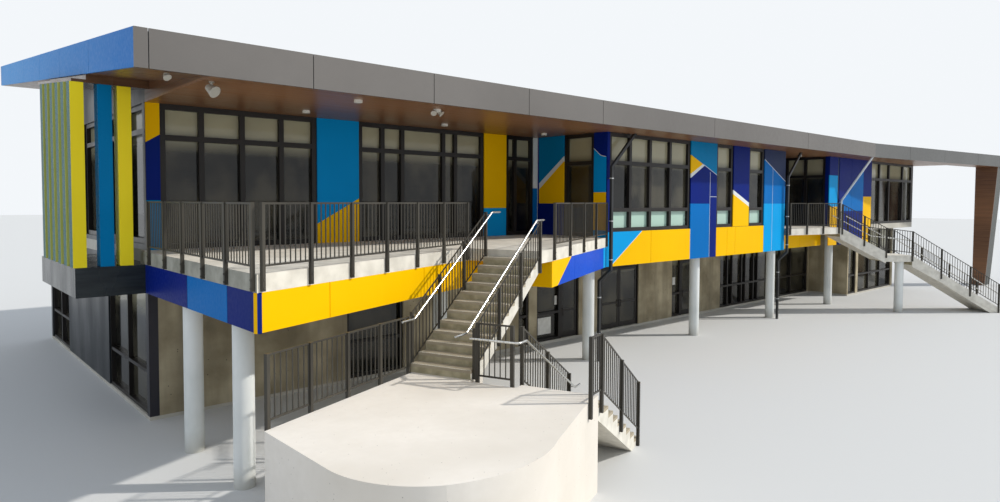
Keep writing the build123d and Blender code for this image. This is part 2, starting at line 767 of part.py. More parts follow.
def bay_head():
    """Dark plate over the sun fins, with an upstand to the sloping soffit."""
    front = DEPTH - BAY_FRONT_Y
    back = DEPTH - BAY_BACK_Y
    low = (bay_top(BAY_BACK_Y), bay_top(BAY_FRONT_Y))

    def layer(bottom, top, outer):
        outline = [(back, low[0] + bottom), (front, low[1] + bottom), (front, low[1] + top),
                   (back, low[0] + top)]
        return sheet(END, outline, [], outer, outer)
    plate = layer(0, BAY_HEAD, BAY_WIDTH - BAY_INSET)
    return plate.fuse(layer(BAY_HEAD, BAY_HEAD_DROP, BAY_UPSTAND))


def fin_outline(front_y, depth):
    """Side outline of a fin or post, from the bay's base to its head plate, on the end run."""
    low = WALL_TOP
    front = DEPTH - front_y
    back = front - depth
    return [(back, low), (front, low), (front, bay_top(front_y)), (back, bay_top(front_y + depth))]


def bay_fins():
    """Row of sun fins along the bay's outer edge."""
    places = [BAY_FRONT_Y + i * FIN_PITCH for i in range(FIN_COUNT)]
    return [sheet(END, fin_outline(y, FIN_DEPTH), [], BAY_WIDTH, FIN) for y in places]


def bay_posts():
    """Two coloured posts on the bay's front."""
    outline = fin_outline(BAY_FRONT_Y, FIN_DEPTH)
    return [sheet(END, outline, [], -x, BAY_POST) for x in BAY_POST_X]


def upper_front_wall():
    """Wall pieces of the upper floor behind the balcony and in the recess."""
    z = (DECK_Z, SOFFIT_Z)
    solids = piers(FRONT, (0, BLOCK_LEFT), MAIN_UNITS[:3], z, -PANEL, CORE)
    solids += piers(FRONT, (BLOCK_RIGHT, FAR_BLOCK_LEFT), MAIN_UNITS[3:], z, -PANEL, CORE)
    return solids


def block_front_wall():
    """Front wall of the main block: a low sill with piers rising between the windows."""
    low, high = PANEL, BLOCK_RIGHT - BLOCK_LEFT - PANEL
    outline = [(low, DECK_Z), (high, DECK_Z), (high, SOFFIT_Z)]
    for left, right in reversed(BLOCK_UNITS):
        outline += [(right, SOFFIT_Z), (right, BLOCK_TOP_OF_SILL), (left, BLOCK_TOP_OF_SILL),
                    (left, SOFFIT_Z)]
    outline.append((low, SOFFIT_Z))
    return sheet(BLOCK_FRONT, outline, [], -PANEL, CORE)


def block_side_walls():
    """Side walls of the main block and the left side wall of the far block."""
    z = (DECK_Z, SOFFIT_Z)
    side = (0, BLOCK_PROJECTION - WALL)
    solids = piers(BLOCK_SIDE, side, [SIDE_UNIT], z, -PANEL, CORE)
    far_side = (WALL, BLOCK_PROJECTION)
    solids.append(slab_on_run(BLOCK_FAR_SIDE, far_side, z, -PANEL, CORE))
    solids += piers(FAR_SIDE, side, [FAR_SIDE_UNIT], z, -PANEL, CORE)
    return solids


def far_block_wall():
    """Wall pieces of the far block's front, beside the glass box."""
    z = (DECK_Z, SOFFIT_Z)
    end = GLASS_BOX_UNIT[0]
    length = BUILDING_RIGHT - FAR_BLOCK_LEFT
    return [
        slab_on_run(FAR_FRONT, (PANEL, end), z, -PANEL, CORE),
        slab_on_run(FAR_FRONT, (length - WALL, length - WALL + CORE), z, -PANEL, CORE),
    ]


def panels(run, spans, z, gap):
    """Cladding panels on a run, each narrowed by half a joint on both sides."""
    half = gap / 2
    return [slab_on_run(run, (low + half, high - half), z, 0, PANEL) for low, high in spans]


def main_cladding():
    """Coloured panels on the upper front wall."""
    return panels(FRONT, MAIN_PANELS, (DECK_Z, SOFFIT_Z), PANEL_JOINT)


def side_cladding():
    """Coloured panels on the side walls of the two blocks."""
    z = (DECK_Z, SOFFIT_Z)
    solids = panels(BLOCK_SIDE, SIDE_PANELS, z, PANEL_JOINT)
    solids += panels(BLOCK_FAR_SIDE, [(PANEL, BLOCK_PROJECTION)], z, PANEL_JOINT)
    solids += panels(FAR_SIDE, FAR_SIDE_PANELS, z, PANEL_JOINT)
    return solids


def block_cladding():
    """Coloured panels and bands on the main block's front."""
    solids = panels(BLOCK_FRONT, BLOCK_TALL_PANELS, (BAND_LOW, SOFFIT_Z), PANEL_JOINT)
    over = (BLOCK_TOP_OF_SILL + PANEL_JOINT, SOFFIT_Z)
    solids += panels(BLOCK_FRONT, BLOCK_SHORT_PANELS, over, PANEL_JOINT)
    band = (BAND_LOW, BLOCK_TOP_OF_SILL)
    solids += panels(BLOCK_FRONT, BLOCK_BAND_SPANS, band, PANEL_JOINT)
    return solids


def far_cladding():
    """Blue panels of the far block, from the band's bottom to the soffit."""
    return panels(FAR_FRONT, FAR_PANELS, (BAND_LOW, SOFFIT_Z), PANEL_JOINT)


def spandrel_units():
    """Windows of the main block, glazed above a row of coloured glass."""
    z = (BLOCK_TOP_OF_SILL, SOFFIT_Z)
    rails = [SPANDREL_TOP, BLOCK_TRANSOM]
    return [(BLOCK_FRONT, span, z, bars, rails) for span, bars in zip(BLOCK_UNITS, BLOCK_MULLIONS)]


def upper_units():
    """Run, span, heights, mullions and transoms of the upper floor's other windows."""
    z = (DECK_Z, SOFFIT_Z)
    units = []
    for span, bars in zip(MAIN_UNITS, MAIN_MULLIONS):
        units.append((FRONT, span, z, bars, [MAIN_TRANSOM]))
    units.append((BLOCK_SIDE, SIDE_UNIT, z, [], [BLOCK_TRANSOM]))
    units.append((FAR_SIDE, FAR_SIDE_UNIT, z, even_stops(FAR_SIDE_UNIT, 2), [BLOCK_TRANSOM]))
    units.append((FAR_FRONT, GLASS_BOX_UNIT, z, GLASS_BOX_MULLIONS, [BLOCK_TRANSOM]))
    end_bars = even_stops(UPPER_END_UNIT, UPPER_END_LIGHTS)
    units.append((END, UPPER_END_UNIT, (UPPER_END_LOW, SOFFIT_Z), end_bars, [UPPER_END_TRANSOM]))
    for span, heights in rear_upper_windows():
        units.append((REAR, span, heights, even_stops(span, CASEMENTS), []))
    for span, heights in right_windows(1):
        units.append((RIGHT, span, heights, even_stops(span, CASEMENTS), []))
    return units


def spandrels():
    """Coloured glass of the main block's low windows, behind the frame."""
    outer = -(FRAME_SETBACK + FRAME_DEPTH)
    edge = FRAME_BAR / 2
    z = (BLOCK_TOP_OF_SILL + edge, SPANDREL_TOP)
    return [slab_on_run(BLOCK_FRONT, (low + edge, high - edge), z, outer, GLASS)
            for low, high in BLOCK_UNITS]


def upper_glass():
    """Clear glass of the upper floor."""
    solids = glass_of(upper_units())
    for run, span, z, bars, rails in spandrel_units():
        solids.append(window_glass(run, span, (SPANDREL_TOP, z[1])))
    return solids


def sloped_wall(run, s, y_of_s, windows):
    """End wall of the upper floor, whose top follows the roof."""
    outline = [
        (s[0], DECK_Z), (s[1], DECK_Z), (s[1], roof_underside(y_of_s(s[1]))),
        (s[0], roof_underside(y_of_s(s[0]))),
    ]
    holes = [rectangle(span[0], span[1], low, high) for span, (low, high) in windows]
    return sheet(run, outline, holes, 0, WALL)


def end_wall_upper():
    """Left end wall of the upper floor."""
    windows = [(UPPER_END_UNIT, (UPPER_END_LOW, SOFFIT_Z))]
    return sloped_wall(END, (WALL, DEPTH - WALL), lambda s: DEPTH - s, windows)


def right_wall_upper():
    """Right end wall of the upper floor, behind the glass box."""
    start = BLOCK_PROJECTION + WALL
    span = (start, BLOCK_PROJECTION + DEPTH - WALL)
    return sloped_wall(RIGHT, span, lambda s: s - BLOCK_PROJECTION, right_windows(1))


def glass_box_side():
    """Right side wall of the glass box under the flat soffit."""
    return slab_on_run(RIGHT, (PANEL, BLOCK_PROJECTION), (DECK_Z, SOFFIT_Z), 0, PANEL)


def rear_wall_upper():
    """Upper floor of the rear wall."""
    top = roof_underside(DEPTH - WALL)
    windows = rear_upper_windows()
    return plate_with_windows(REAR, (0, BUILDING_RIGHT), (DECK_Z, top), windows, 0, WALL)


def front_header():
    """Closing wall between the flat soffit and the sloping roof, over the upper front wall."""
    front = DEPTH
    back = DEPTH - WALL
    outline = [
        (back, SOFFIT_Z), (front, SOFFIT_Z), (front, roof_underside(0)), (back, roof_underside(WALL)),
    ]
    return sheet(END, outline, [], 0, BUILDING_RIGHT)


def roof_outline(low, high):
    """Side outline of a sloping layer of the roof, low and high above the slab's underside."""
    front = DEPTH - ROOF_FRONT
    back = DEPTH - ROOF_BACK
    z_front = roof_underside(ROOF_FRONT)
    z_back = roof_underside(ROOF_BACK)
    return [(back, z_back + low), (front, z_front + low), (front, z_front + high),
            (back, z_back + high)]


def roof_slab():
    """Sloping roof over the whole building and its eaves."""
    outline = roof_outline(0, ROOF_THICKNESS)
    return sheet(END, outline, [], -ROOF_LEFT, ROOF_RIGHT - ROOF_LEFT)


def end_fascia():
    """Metal sheets of the left eave, cut like the roof's slope."""
    solids = []
    half = FASCIA_GAP / 2
    edges = [ROOF_FRONT]
    for y in END_FASCIA_JOINT_Y:
        edges += [y - half, y + half]
    edges.append(ROOF_BACK)
    for low, high in zip(edges[::2], edges[1::2]):
        solids.append(sheet(END, fascia_outline(low, high), [], EAVE_LEFT, FASCIA_SHEET))
    return solids


def fascia_outline(front_y, back_y):
    """Parallelogram of a sloping fascia sheet on the end run."""
    front = DEPTH - front_y
    back = DEPTH - back_y
    z_front = roof_underside(front_y) - SOFFIT_BOARD
    z_back = roof_underside(back_y) - SOFFIT_BOARD
    return [(back, z_back), (front, z_front), (front, z_front + FASCIA_DEPTH),
            (back, z_back + FASCIA_DEPTH)]


def front_fascia():
    """Metal sheets of the front eave, up to its kink."""
    left = -EAVE_LEFT
    path = [(left, -EAVE_FRONT), (KINK_X, -EAVE_FRONT)]
    joints = [[x - left for x in FASCIA_JOINT_X]]
    return strip(path, FASCIA_SHEET, joints, FASCIA_GAP, (SOFFIT_Z, SOFFIT_Z + FASCIA_DEPTH))


def canopy_fascia():
    """Darker metal sheets from the kink to the end of the canopy and round the open beam."""
    back = BEAM_WIDTH
    right = BUILDING_RIGHT + EAVE_RIGHT
    path = [
        (KINK_X, -EAVE_FRONT), (CANOPY_END, canopy_front(CANOPY_END)),
        (CANOPY_END, canopy_front(CANOPY_END) + back), (right, canopy_front(right) + back),
    ]
    joints = [CANOPY_JOINTS, (), ()]
    return strip(path, FASCIA_SHEET, joints, FASCIA_GAP, (SOFFIT_Z, SOFFIT_Z + FASCIA_DEPTH))


def canopy_plan():
    """Plan of the canopy behind its fascia sheets."""
    right = BUILDING_RIGHT + EAVE_RIGHT
    path = [
        (KINK_X, -EAVE_FRONT), (CANOPY_END, canopy_front(CANOPY_END)),
        (CANOPY_END, canopy_front(CANOPY_END) + BEAM_WIDTH),
        (right, canopy_front(right) + BEAM_WIDTH),
    ]
    inner = mitred_corners(path, FASCIA_SHEET)
    return inner + [(right, ROOF_FRONT), (inner[0][0], ROOF_FRONT)]


def canopy():
    """Level infill between the main eave and the turned fascia, ending in a narrow beam."""
    return prism(canopy_plan(), EAVE_Z, SOFFIT_Z + ROOF_THICKNESS)


def front_soffit():
    """Timber-look boards under the front eave, the blocks' ceilings and the canopy."""
    main = block((0, ROOF_RIGHT), (ROOF_FRONT, 0), (SOFFIT_Z, EAVE_Z))
    return main.fuse(prism(canopy_plan(), SOFFIT_Z, EAVE_Z))


def end_soffit():
    """Sloping boards under the left eave."""
    outline = roof_outline(-SOFFIT_BOARD, 0)
    return sheet(END, outline, [], -ROOF_LEFT, -ROOF_LEFT)


def rear_fascia():
    """Metal sheet of the rear eave."""
    z = roof_underside(DEPTH + EAVE_REAR) - SOFFIT_BOARD
    x = (-EAVE_LEFT, BUILDING_RIGHT + EAVE_RIGHT)
    return block(x, (ROOF_BACK, DEPTH + EAVE_REAR), (z, z + FASCIA_DEPTH))


def right_fascia():
    """Metal sheet of the right eave."""
    return sheet(END, fascia_outline(ROOF_FRONT, ROOF_BACK), [], -ROOF_RIGHT, FASCIA_SHEET)


def eave_gusset():
    """Boarded triangle between the flat soffit and the sloping roof, over the end wall."""
    front = DEPTH - ROOF_FRONT
    back = DEPTH
    outline = [
        (back, EAVE_Z), (front, EAVE_Z), (front, roof_underside(ROOF_FRONT)),
        (back, roof_underside(0)),
    ]
    return sheet(END, outline, [], 0, FASCIA_SHEET)


def pillar_outline():
    """Side outline of the tapered pillar on the end run."""
    back = DEPTH - canopy_front(PILLAR_X) - BEAM_WIDTH
    return [(back, 0), (back + PILLAR_FOOT, 0), (back + PILLAR_HEAD, SOFFIT_Z), (back, SOFFIT_Z)]


def pillar():
    """Metal-faced pillar under the end of the canopy beam."""
    left = PILLAR_X + PILLAR_CLADDING
    return sheet(END, pillar_outline(), [], -left, PILLAR_WIDTH - PILLAR_CLADDING)


def pillar_boards():
    """Timber-look boards on the pillar's left face."""
    return sheet(END, pillar_outline(), [], -PILLAR_X, PILLAR_CLADDING)


def flight_waist(run, z_top, risers, rise, going, width, lands_on_slab):
    """Inclined stair slab, stepped on top under the treads and sloping below."""
    slope = rise / going
    drop = WAIST * hypot(1, slope)
    length = (risers - 1) * going
    under_tread = z_top - rise - TREAD
    floor = z_top - risers * rise
    points = [(0, under_tread - drop)]
    for i in range(risers - 1):
        points.append((i * going, under_tread - i * rise))
        points.append(((i + 1) * going, under_tread - i * rise))
    if lands_on_slab:
        points.append((length, floor - TREAD - drop))
    else:
        points.append((length, floor))
        points.append((length - (TREAD + drop) / slope, floor))
    return sheet(run, points, [], 0, width)


def flight_treads(run, z_top, risers, rise, going, width):
    """Treads of one flight, from the top down."""
    solids = []
    for i in range(1, risers):
        z = z_top - i * rise
        solids.append(slab_on_run(run, ((i - 1) * going, i * going), (z - TREAD, z), 0, width))
    return solids


def far_lower_run():
    """Run of the far stair's lower flight, from the landing's edge."""
    start = FAR_UPPER_RUN + FAR_LANDING
    return wall_run(far(start, 0), far(start + FAR_LOWER_RUN, 0))


def main_stair_waist():
    """Concrete slab of the main stair."""
    return flight_waist(STAIR_DOWN, DECK_Z, STAIR_RISERS, RISER, GOING, STAIR_WIDTH, False)


def lower_stair_waist():
    """Concrete slab of the short flight."""
    return flight_waist(
        LOWER_DOWN, PODIUM_Z, LOWER_RISERS, LOWER_RISER, LOWER_GOING, LOWER_WIDTH, False)


def far_stair_waists():
    """Concrete slabs of the far stair's two flights."""
    return [
        flight_waist(
            FAR_DOWN, DECK_Z, FAR_UPPER_RISERS, FAR_UPPER_RISER, FAR_UPPER_GOING, FAR_WIDTH,
            True),
        flight_waist(
            far_lower_run(), FAR_LANDING_Z, FAR_LOWER_RISERS, FAR_LOWER_RISER, FAR_LOWER_GOING,
            FAR_WIDTH, False),
    ]


def far_stair_landing():
    """Landing between the far stair's flights."""
    z = (FAR_LANDING_Z - DECK_SLAB, FAR_LANDING_Z)
    return slab_on_run(FAR_DOWN, (FAR_UPPER_RUN, FAR_UPPER_RUN + FAR_LANDING), z, 0, FAR_WIDTH)


def main_stair_treads():
    """Treads of the main stair."""
    return flight_treads(STAIR_DOWN, DECK_Z, STAIR_RISERS, RISER, GOING, STAIR_WIDTH)


def lower_stair_treads():
    """Treads of the short flight."""
    return flight_treads(
        LOWER_DOWN, PODIUM_Z, LOWER_RISERS, LOWER_RISER, LOWER_GOING, LOWER_WIDTH)


def far_stair_treads():
    """Treads of the far stair's two flights."""
    solids = flight_treads(
        FAR_DOWN, DECK_Z, FAR_UPPER_RISERS, FAR_UPPER_RISER, FAR_UPPER_GOING, FAR_WIDTH)
    solids += flight_treads(
        far_lower_run(), FAR_LANDING_Z, FAR_LOWER_RISERS, FAR_LOWER_RISER, FAR_LOWER_GOING,
        FAR_WIDTH)
    return solids


def podium():
    """Raised concrete landing with a rounded nose, between the main stair and the short flight."""
    def at(point):
        x, y = balcony(point[0], point[1])
        return (x, y, 0)
    back_right = (PODIUM_STAIR_EDGE_U, PODIUM_BACK_N)
    neck = (PODIUM_STAIR_EDGE_U, BALCONY_STEP_N)
    corners = [
        PODIUM_FRONT_RIGHT, (LOWER_TOP_U, LOWER_RIGHT_N), (LOWER_TOP_U, LOWER_LEFT_N),
        (PODIUM_NECK_U, LOWER_LEFT_N), (PODIUM_NECK_U, BALCONY_STEP_N), neck, back_right,
        (PODIUM_BACK_U, PODIUM_BACK_N),
    ]
    edges = [
        Line(at(corners[-1]), at(PODIUM_SIDE)),
        ThreePointArc(at(PODIUM_SIDE), at(PODIUM_BULGE), at(PODIUM_SHOULDER)),
        ThreePointArc(at(PODIUM_SHOULDER), at(PODIUM_NOSE), at(PODIUM_FRONT)),
        Line(at(PODIUM_FRONT), at(PODIUM_FRONT_RIGHT)),
    ]
    for start, end in zip(corners, corners[1:]):
        edges.append(Line(at(start), at(end)))
    return Solid.extrude(Face(Wire(edges)), (0, 0, PODIUM_Z))


def guard_panel(run, s, z, height, outer):
    """Panel of upright bars between two posts, with its bottom following z along the run."""
    width = s[1] - s[0]
    slope = (z[1] - z[0]) / width
    bars = max(round(width / BALUSTER_PITCH), 1)
    pitch = (width + GUARD_BAR) / bars

    def level(place, above):
        return (s[0] + place, z[0] + slope * place + above)
    outline = [level(0, GUARD_BOTTOM), level(width, GUARD_BOTTOM), level(width, height),
               level(0, height)]
    low = GUARD_BOTTOM + GUARD_RAIL
    high = height - GUARD_RAIL
    holes = []
    for i in range(bars):
        left = i * pitch + (GUARD_BAR if i == 0 else 0)
        right = (i + 1) * pitch - GUARD_BAR - (GUARD_BAR if i == bars - 1 else 0)
        holes.append([level(left, low), level(right, low), level(right, high), level(left, high)])
    return sheet(run, outline, holes, outer, GUARD_BAR)


def guard(run, posts, z_at, height, drop, floor, outer):
    """Posts and panels of one guard line; z_at gives the walking surface along the run, and
    the posts reach below it by the drop, but not below the floor."""
    half = GUARD_POST / 2
    uprights = []
    for s in posts:
        z = (max(z_at(s) - drop, floor), z_at(s) + height)
        uprights.append(slab_on_run(run, (s - half, s + half), z, outer, GUARD_POST))
    face = outer - (GUARD_POST - GUARD_BAR) / 2
    infill = []
    for left, right in zip(posts, posts[1:]):
        s = (left + half, right - half)
        infill.append(guard_panel(run, s, (z_at(s[0]), z_at(s[1])), height, face))
    return uprights, infill


def deck_level(s):
    """Height of the deck, the same all along a run."""
    return DECK_Z


def balcony_guards():
    """Posts and panels round the balcony, fixed to the outside of its slab."""
    side = spread(SIDE_GUARD_START, -BALCONY_CORNER[1] - POST_INSET, SIDE_GUARD_BAYS)
    front = spread(POST_INSET, STAIR_TOP_U - POST_INSET, FRONT_GUARD_BAYS)
    length = hypot(
        BLOCK_LEFT - balcony(BALCONY_STEP_U, BALCONY_STEP_N)[0],
        -BLOCK_PROJECTION - balcony(BALCONY_STEP_U, BALCONY_STEP_N)[1])
    right = spread(POST_INSET, length - POST_INSET, RIGHT_GUARD_BAYS)
    posts = []
    infill = []
    for run, places in ((BALCONY_SIDE, side), (BALCONY_FRONT, front), (BALCONY_RIGHT, right)):
        new_posts, new_panels = guard(
            run, places, deck_level, GUARD_HEIGHT, POST_DROP, WALL_TOP, GUARD_POST)
        posts += new_posts
        infill += new_panels
    return posts, infill


def stair_guards():
    """Posts and panels on both sides of the main stair, fixed to the sides of its slab."""
    slope = RISER / GOING
    posts = []
    infill = []
    down = spread(POST_INSET, STAIR_RUN - POST_INSET, STAIR_GUARD_BAYS)
    up = spread(POST_INSET, STAIR_RUN - POST_INSET, STAIR_GUARD_BAYS)
    lines = (
        (STAIR_DOWN, down, lambda s: DECK_Z - RISER - s * slope, GUARD_HEIGHT),
        (STAIR_UP, up, lambda s: PODIUM_Z + s * slope, STAIR_UP_GUARD_HEIGHT),
    )
    for run, places, z_at, height in lines:
        new_posts, new_panels = guard(
            run, places, z_at, height, POST_DROP, PODIUM_Z, GUARD_POST)
        posts += new_posts
        infill += new_panels
    return posts, infill


def lower_guard_level(s):
    """Height of the podium and of the short flight's nosing line, down from the flight's top."""
    return PODIUM_Z - max(s, 0) * LOWER_RISER / LOWER_GOING


def lower_guard_places():
    """Places of the guard posts beside the short flight, down from the flight's top."""
    return spread(POST_INSET, LOWER_RUN - POST_INSET, LOWER_GUARD_BAYS)


def lower_left_start():
    """Place of the short flight's top on the run that climbs its left side."""
    return BALCONY_STEP_U - LOWER_TOP_U


def podium_guards():
    """Posts and panels on the podium's back edge and beside the short flight."""
    foot = STAIR_TOP_U - STAIR_RUN
    back_run = wall_run(balcony(foot, PODIUM_BACK_N), balcony(PODIUM_BACK_U, PODIUM_BACK_N))
    back = spread(POST_INSET, foot - PODIUM_BACK_U - POST_INSET, PODIUM_GUARD_BAYS)
    neck_run = wall_run(
        balcony(PODIUM_NECK_U, LOWER_LEFT_N), balcony(PODIUM_NECK_U, BALCONY_STEP_N))
    neck = spread(POST_INSET, LOWER_LEFT_N - BALCONY_STEP_N - 2 * POST_INSET, 1)
    right = [LOWER_GUARD_START] + lower_guard_places()
    top = lower_left_start()
    left = [top - s for s in reversed(lower_guard_places())]
    lines = (
        (back_run, back, lambda s: PODIUM_Z, POST_DROP, GUARD_POST),
        (neck_run, neck, lambda s: PODIUM_Z, POST_DROP, GUARD_POST),
        (LOWER_DOWN, right, lower_guard_level, POST_DROP, GUARD_POST),
        (LOWER_LEFT_UP, left, lambda s: lower_guard_level(top - s), POST_DROP, GUARD_POST),
    )
    posts = []
    infill = []
    for run, spots, z_at, drop, outer in lines:
        new_posts, new_panels = guard(run, spots, z_at, GUARD_HEIGHT, drop, 0, outer)
        posts += new_posts
        infill += new_panels
    return posts, infill


def far_guard_level(s):
    """Height of the far stair's nosing line and landing, down from the deck."""
    landing_end = FAR_UPPER_RUN + FAR_LANDING
    if s < landing_end:
        return max(DECK_Z - s * FAR_UPPER_RISER / FAR_UPPER_GOING, FAR_LANDING_Z)
    return FAR_LANDING_Z - (s - landing_end) * FAR_LOWER_RISER / FAR_LOWER_GOING


def far_guards():
    """Posts and panels of the recess deck and of both sides of the far stair."""
    landing_end = FAR_UPPER_RUN + FAR_LANDING
    places = spread(POST_INSET, FAR_UPPER_RUN, FAR_UPPER_BAYS) + [landing_end]
    lower = spread(0, FAR_LOWER_RUN - POST_INSET, FAR_GUARD_BAYS)
    places += [landing_end + s for s in lower[1:]]
    edge_length = hypot(FAR_STAIR_TOP[0] - BLOCK_RIGHT, FAR_STAIR_TOP[1] - FAR_EDGE_LEFT_Y)
    edge = spread(POST_INSET, edge_length - POST_INSET, FAR_GUARD_BAYS)
    back = [-s for s in reversed([FAR_BACK_POST_INSET] + places[1:])]
    posts = []
    infill = []
    lines = (
        (FAR_EDGE, edge, deck_level),
        (FAR_DOWN, places, far_guard_level),
        (FAR_BACK_UP, back, lambda s: far_guard_level(-s)),
    )
    for run, spots, z_at in lines:
        new_posts, new_panels = guard(
            run, spots, z_at, GUARD_HEIGHT, POST_DROP, 0, GUARD_POST)
        posts += new_posts
        infill += new_panels
    return posts, infill


def handrail(run, s, z_at, above, offset, posts):
    """Round rail along a flight, level at both ends, with a bracket to each guard post."""
    def at(place, height, out):
        point = run.from_local_coords((place, height, out))
        return (point.X, point.Y, point.Z)
    low, high = s
    z_low = z_at(low) + above
    z_high = z_at(high) + above
    points = [at(low - HANDRAIL_END, z_low, offset), at(low, z_low, offset),
              at(high, z_high, offset), at(high + HANDRAIL_END, z_high, offset)]
    path = FilletPolyline(*points, radius=HANDRAIL_BEND)
    section = Plane(origin=path @ 0, z_dir=path % 0) * Circle(HANDRAIL_DIAMETER / 2)
    rail = sweep(section, path=path).solids()[0]
    for place in posts:
        height = z_low + (z_high - z_low) * (place - low) / (high - low)
        foot = Plane(origin=at(place, height, 0), z_dir=run.z_dir * (1 if offset > 0 else -1))
        bracket = Solid.make_cylinder(BRACKET_DIAMETER / 2, abs(offset), foot)
        rail = rail.fuse(bracket)
    return rail


def podium_handrail():
    """Round rail inside the neck guard of the podium and down the short flight."""
    above = LOWER_HANDRAIL_ABOVE
    u = PODIUM_NECK_U - HANDRAIL_STANDOFF
    n = LOWER_LEFT_N + HANDRAIL_STANDOFF
    foot_u = LOWER_TOP_U + LOWER_RUN - GUARD_POST
    foot_z = lower_guard_level(LOWER_RUN - GUARD_POST) + above
    route = (
        (u, BALCONY_STEP_N + HANDRAIL_STANDOFF, PODIUM_Z + above), (u, n, PODIUM_Z + above),
        (LOWER_TOP_U, n, PODIUM_Z + above), (foot_u, n, foot_z), (foot_u + LOWER_GOING, n, foot_z),
    )
    path = FilletPolyline(*[(*balcony(u, n), z) for u, n, z in route], radius=HANDRAIL_BEND)
    section = Plane(origin=path @ 0, z_dir=path % 0) * Circle(HANDRAIL_DIAMETER / 2)
    rail = sweep(section, path=path).solids()[0]
    for place in lower_guard_places():
        x, y = balcony(LOWER_TOP_U + place, LOWER_LEFT_N)
        foot = Plane(origin=(x, y, lower_guard_level(place) + above), z_dir=-LOWER_LEFT_UP.z_dir)
        rail = rail.fuse(Solid.make_cylinder(BRACKET_DIAMETER / 2, HANDRAIL_STANDOFF, foot))
    return rail


def handrails():
    """Round handrails inside the guards of the main stair and of the podium's short flight."""
    slope = RISER / GOING
    places = spread(POST_INSET, STAIR_RUN - POST_INSET, STAIR_GUARD_BAYS)
    ends = (0, STAIR_RUN)
    rails = [
        handrail(STAIR_DOWN, ends, lambda s: DECK_Z - RISER - s * slope, HANDRAIL_ABOVE[0],
                 -HANDRAIL_STANDOFF, places),
        handrail(STAIR_UP, ends, lambda s: PODIUM_Z + s * slope, HANDRAIL_ABOVE[1],
                 -HANDRAIL_STANDOFF, places),
        podium_handrail(),
    ]
    return rails


def block_pipe(x):
    """Square pipe from the soffit down a block's corner and back under it, with two clips."""
    y = -BLOCK_PROJECTION - PIPE_STANDOFF - PIPE / 2
    foot = (x + PIPE_OFFSET[0], y + PIPE_OFFSET[1])
    slope = (SOFFIT_Z - PIPE_ELBOW_Z) / PIPE_ELBOW_RUN
    head_x = x + PIPE_ELBOW_RUN + PIPE
    points = [
        (head_x, y, SOFFIT_Z + PIPE * slope), (x, y, PIPE_ELBOW_Z), (x, y, PIPE_OFFSET_Z),
        (foot[0], foot[1], PIPE_OFFSET_Z - hypot(*PIPE_OFFSET)), (foot[0], foot[1], 0),
    ]
    over = block((x, head_x + PIPE), (y - PIPE, y + PIPE), (SOFFIT_Z, SOFFIT_Z + FASCIA_DEPTH))
    pipe = square_pipe(points, PIPE).cut(over)
    half = PIPE_CLIP / 2
    for z in PIPE_CLIP_Z:
        clip = block((x - half, x + half), (y, -BLOCK_PROJECTION), (z, z + PIPE_CLIP))
        pipe = pipe.fuse(clip)
    return pipe


def downpipes():
    """Square rainwater pipes: one on the front wall and one at each end of the main block."""
    wall_pipe = block((WALL_PIPE_X, WALL_PIPE_X + PIPE), (-PIPE, 0), (0, WALL_TOP))
    ends = (BLOCK_LEFT + PIPE_CORNER_INSET, BLOCK_RIGHT - PIPE_CORNER_INSET)
    return [wall_pipe] + [block_pipe(x) for x in ends]


def soffit_lights():
    """Round lamps under the front eave."""
    z = SOFFIT_Z - LAMP_DEPTH
    return [Solid.make_cylinder(LAMP_DIAMETER / 2, LAMP_DEPTH, Plane(origin=(x, y, z)))
            for x, y in LAMP_PLACES]


def white_pipe():
    """White round pipe from the far eave back to the far block's wall and down it."""
    radius = WHITE_PIPE / 2
    y = -BLOCK_PROJECTION - WHITE_PIPE_GAP - radius
    head = (WHITE_PIPE_HEAD[0], WHITE_PIPE_HEAD[1], SOFFIT_Z)
    elbow = (WHITE_PIPE_X, y, WHITE_PIPE_ELBOW_Z)
    top = tuple(2 * h - e for h, e in zip(head, elbow))
    path = Polyline(top, elbow, (WHITE_PIPE_X, y, WHITE_PIPE_FOOT_Z))
    section = Plane(origin=path @ 0, z_dir=path % 0) * Circle(radius)
    pipe = sweep(section, path=path, transition=Transition.RIGHT).solids()[0]
    over = block((WHITE_PIPE_X, 2 * top[0]), (2 * top[1], 0), (SOFFIT_Z, 2 * SOFFIT_Z))
    pipe = pipe.cut(over)
    half = PIPE_CLIP / 2
    for z in WHITE_PIPE_CLIP_Z:
        x = (WHITE_PIPE_X - half, WHITE_PIPE_X + half)
        pipe = pipe.fuse(block(x, (y, -BLOCK_PROJECTION), (z, z + PIPE_CLIP)))
    return pipe


def save_doors():
    """Write the leaf and the glass of each door."""
    names = ("poster_door", "double_door_left", "double_door_right", "side_door")
    for name, (low, high, side) in zip(names, door_spans()):
        save(name + "_leaf", door_leaf(low, high, side))
        save(name + "_glass", door_glass(low, high))


def save_guards():
    """Write the posts and panels of the guards."""
    balcony_posts, balcony_infill = balcony_guards()
    save("balcony_guard_posts", balcony_posts)
    save("balcony_guard_panels", balcony_infill)
    posts = []
    infill = []
    for new_posts, new_infill in (stair_guards(), podium_guards(), far_guards()):
        posts += new_posts
        infill += new_infill
    save("stair_guard_posts", posts)
    save("stair_guard_panels", infill)


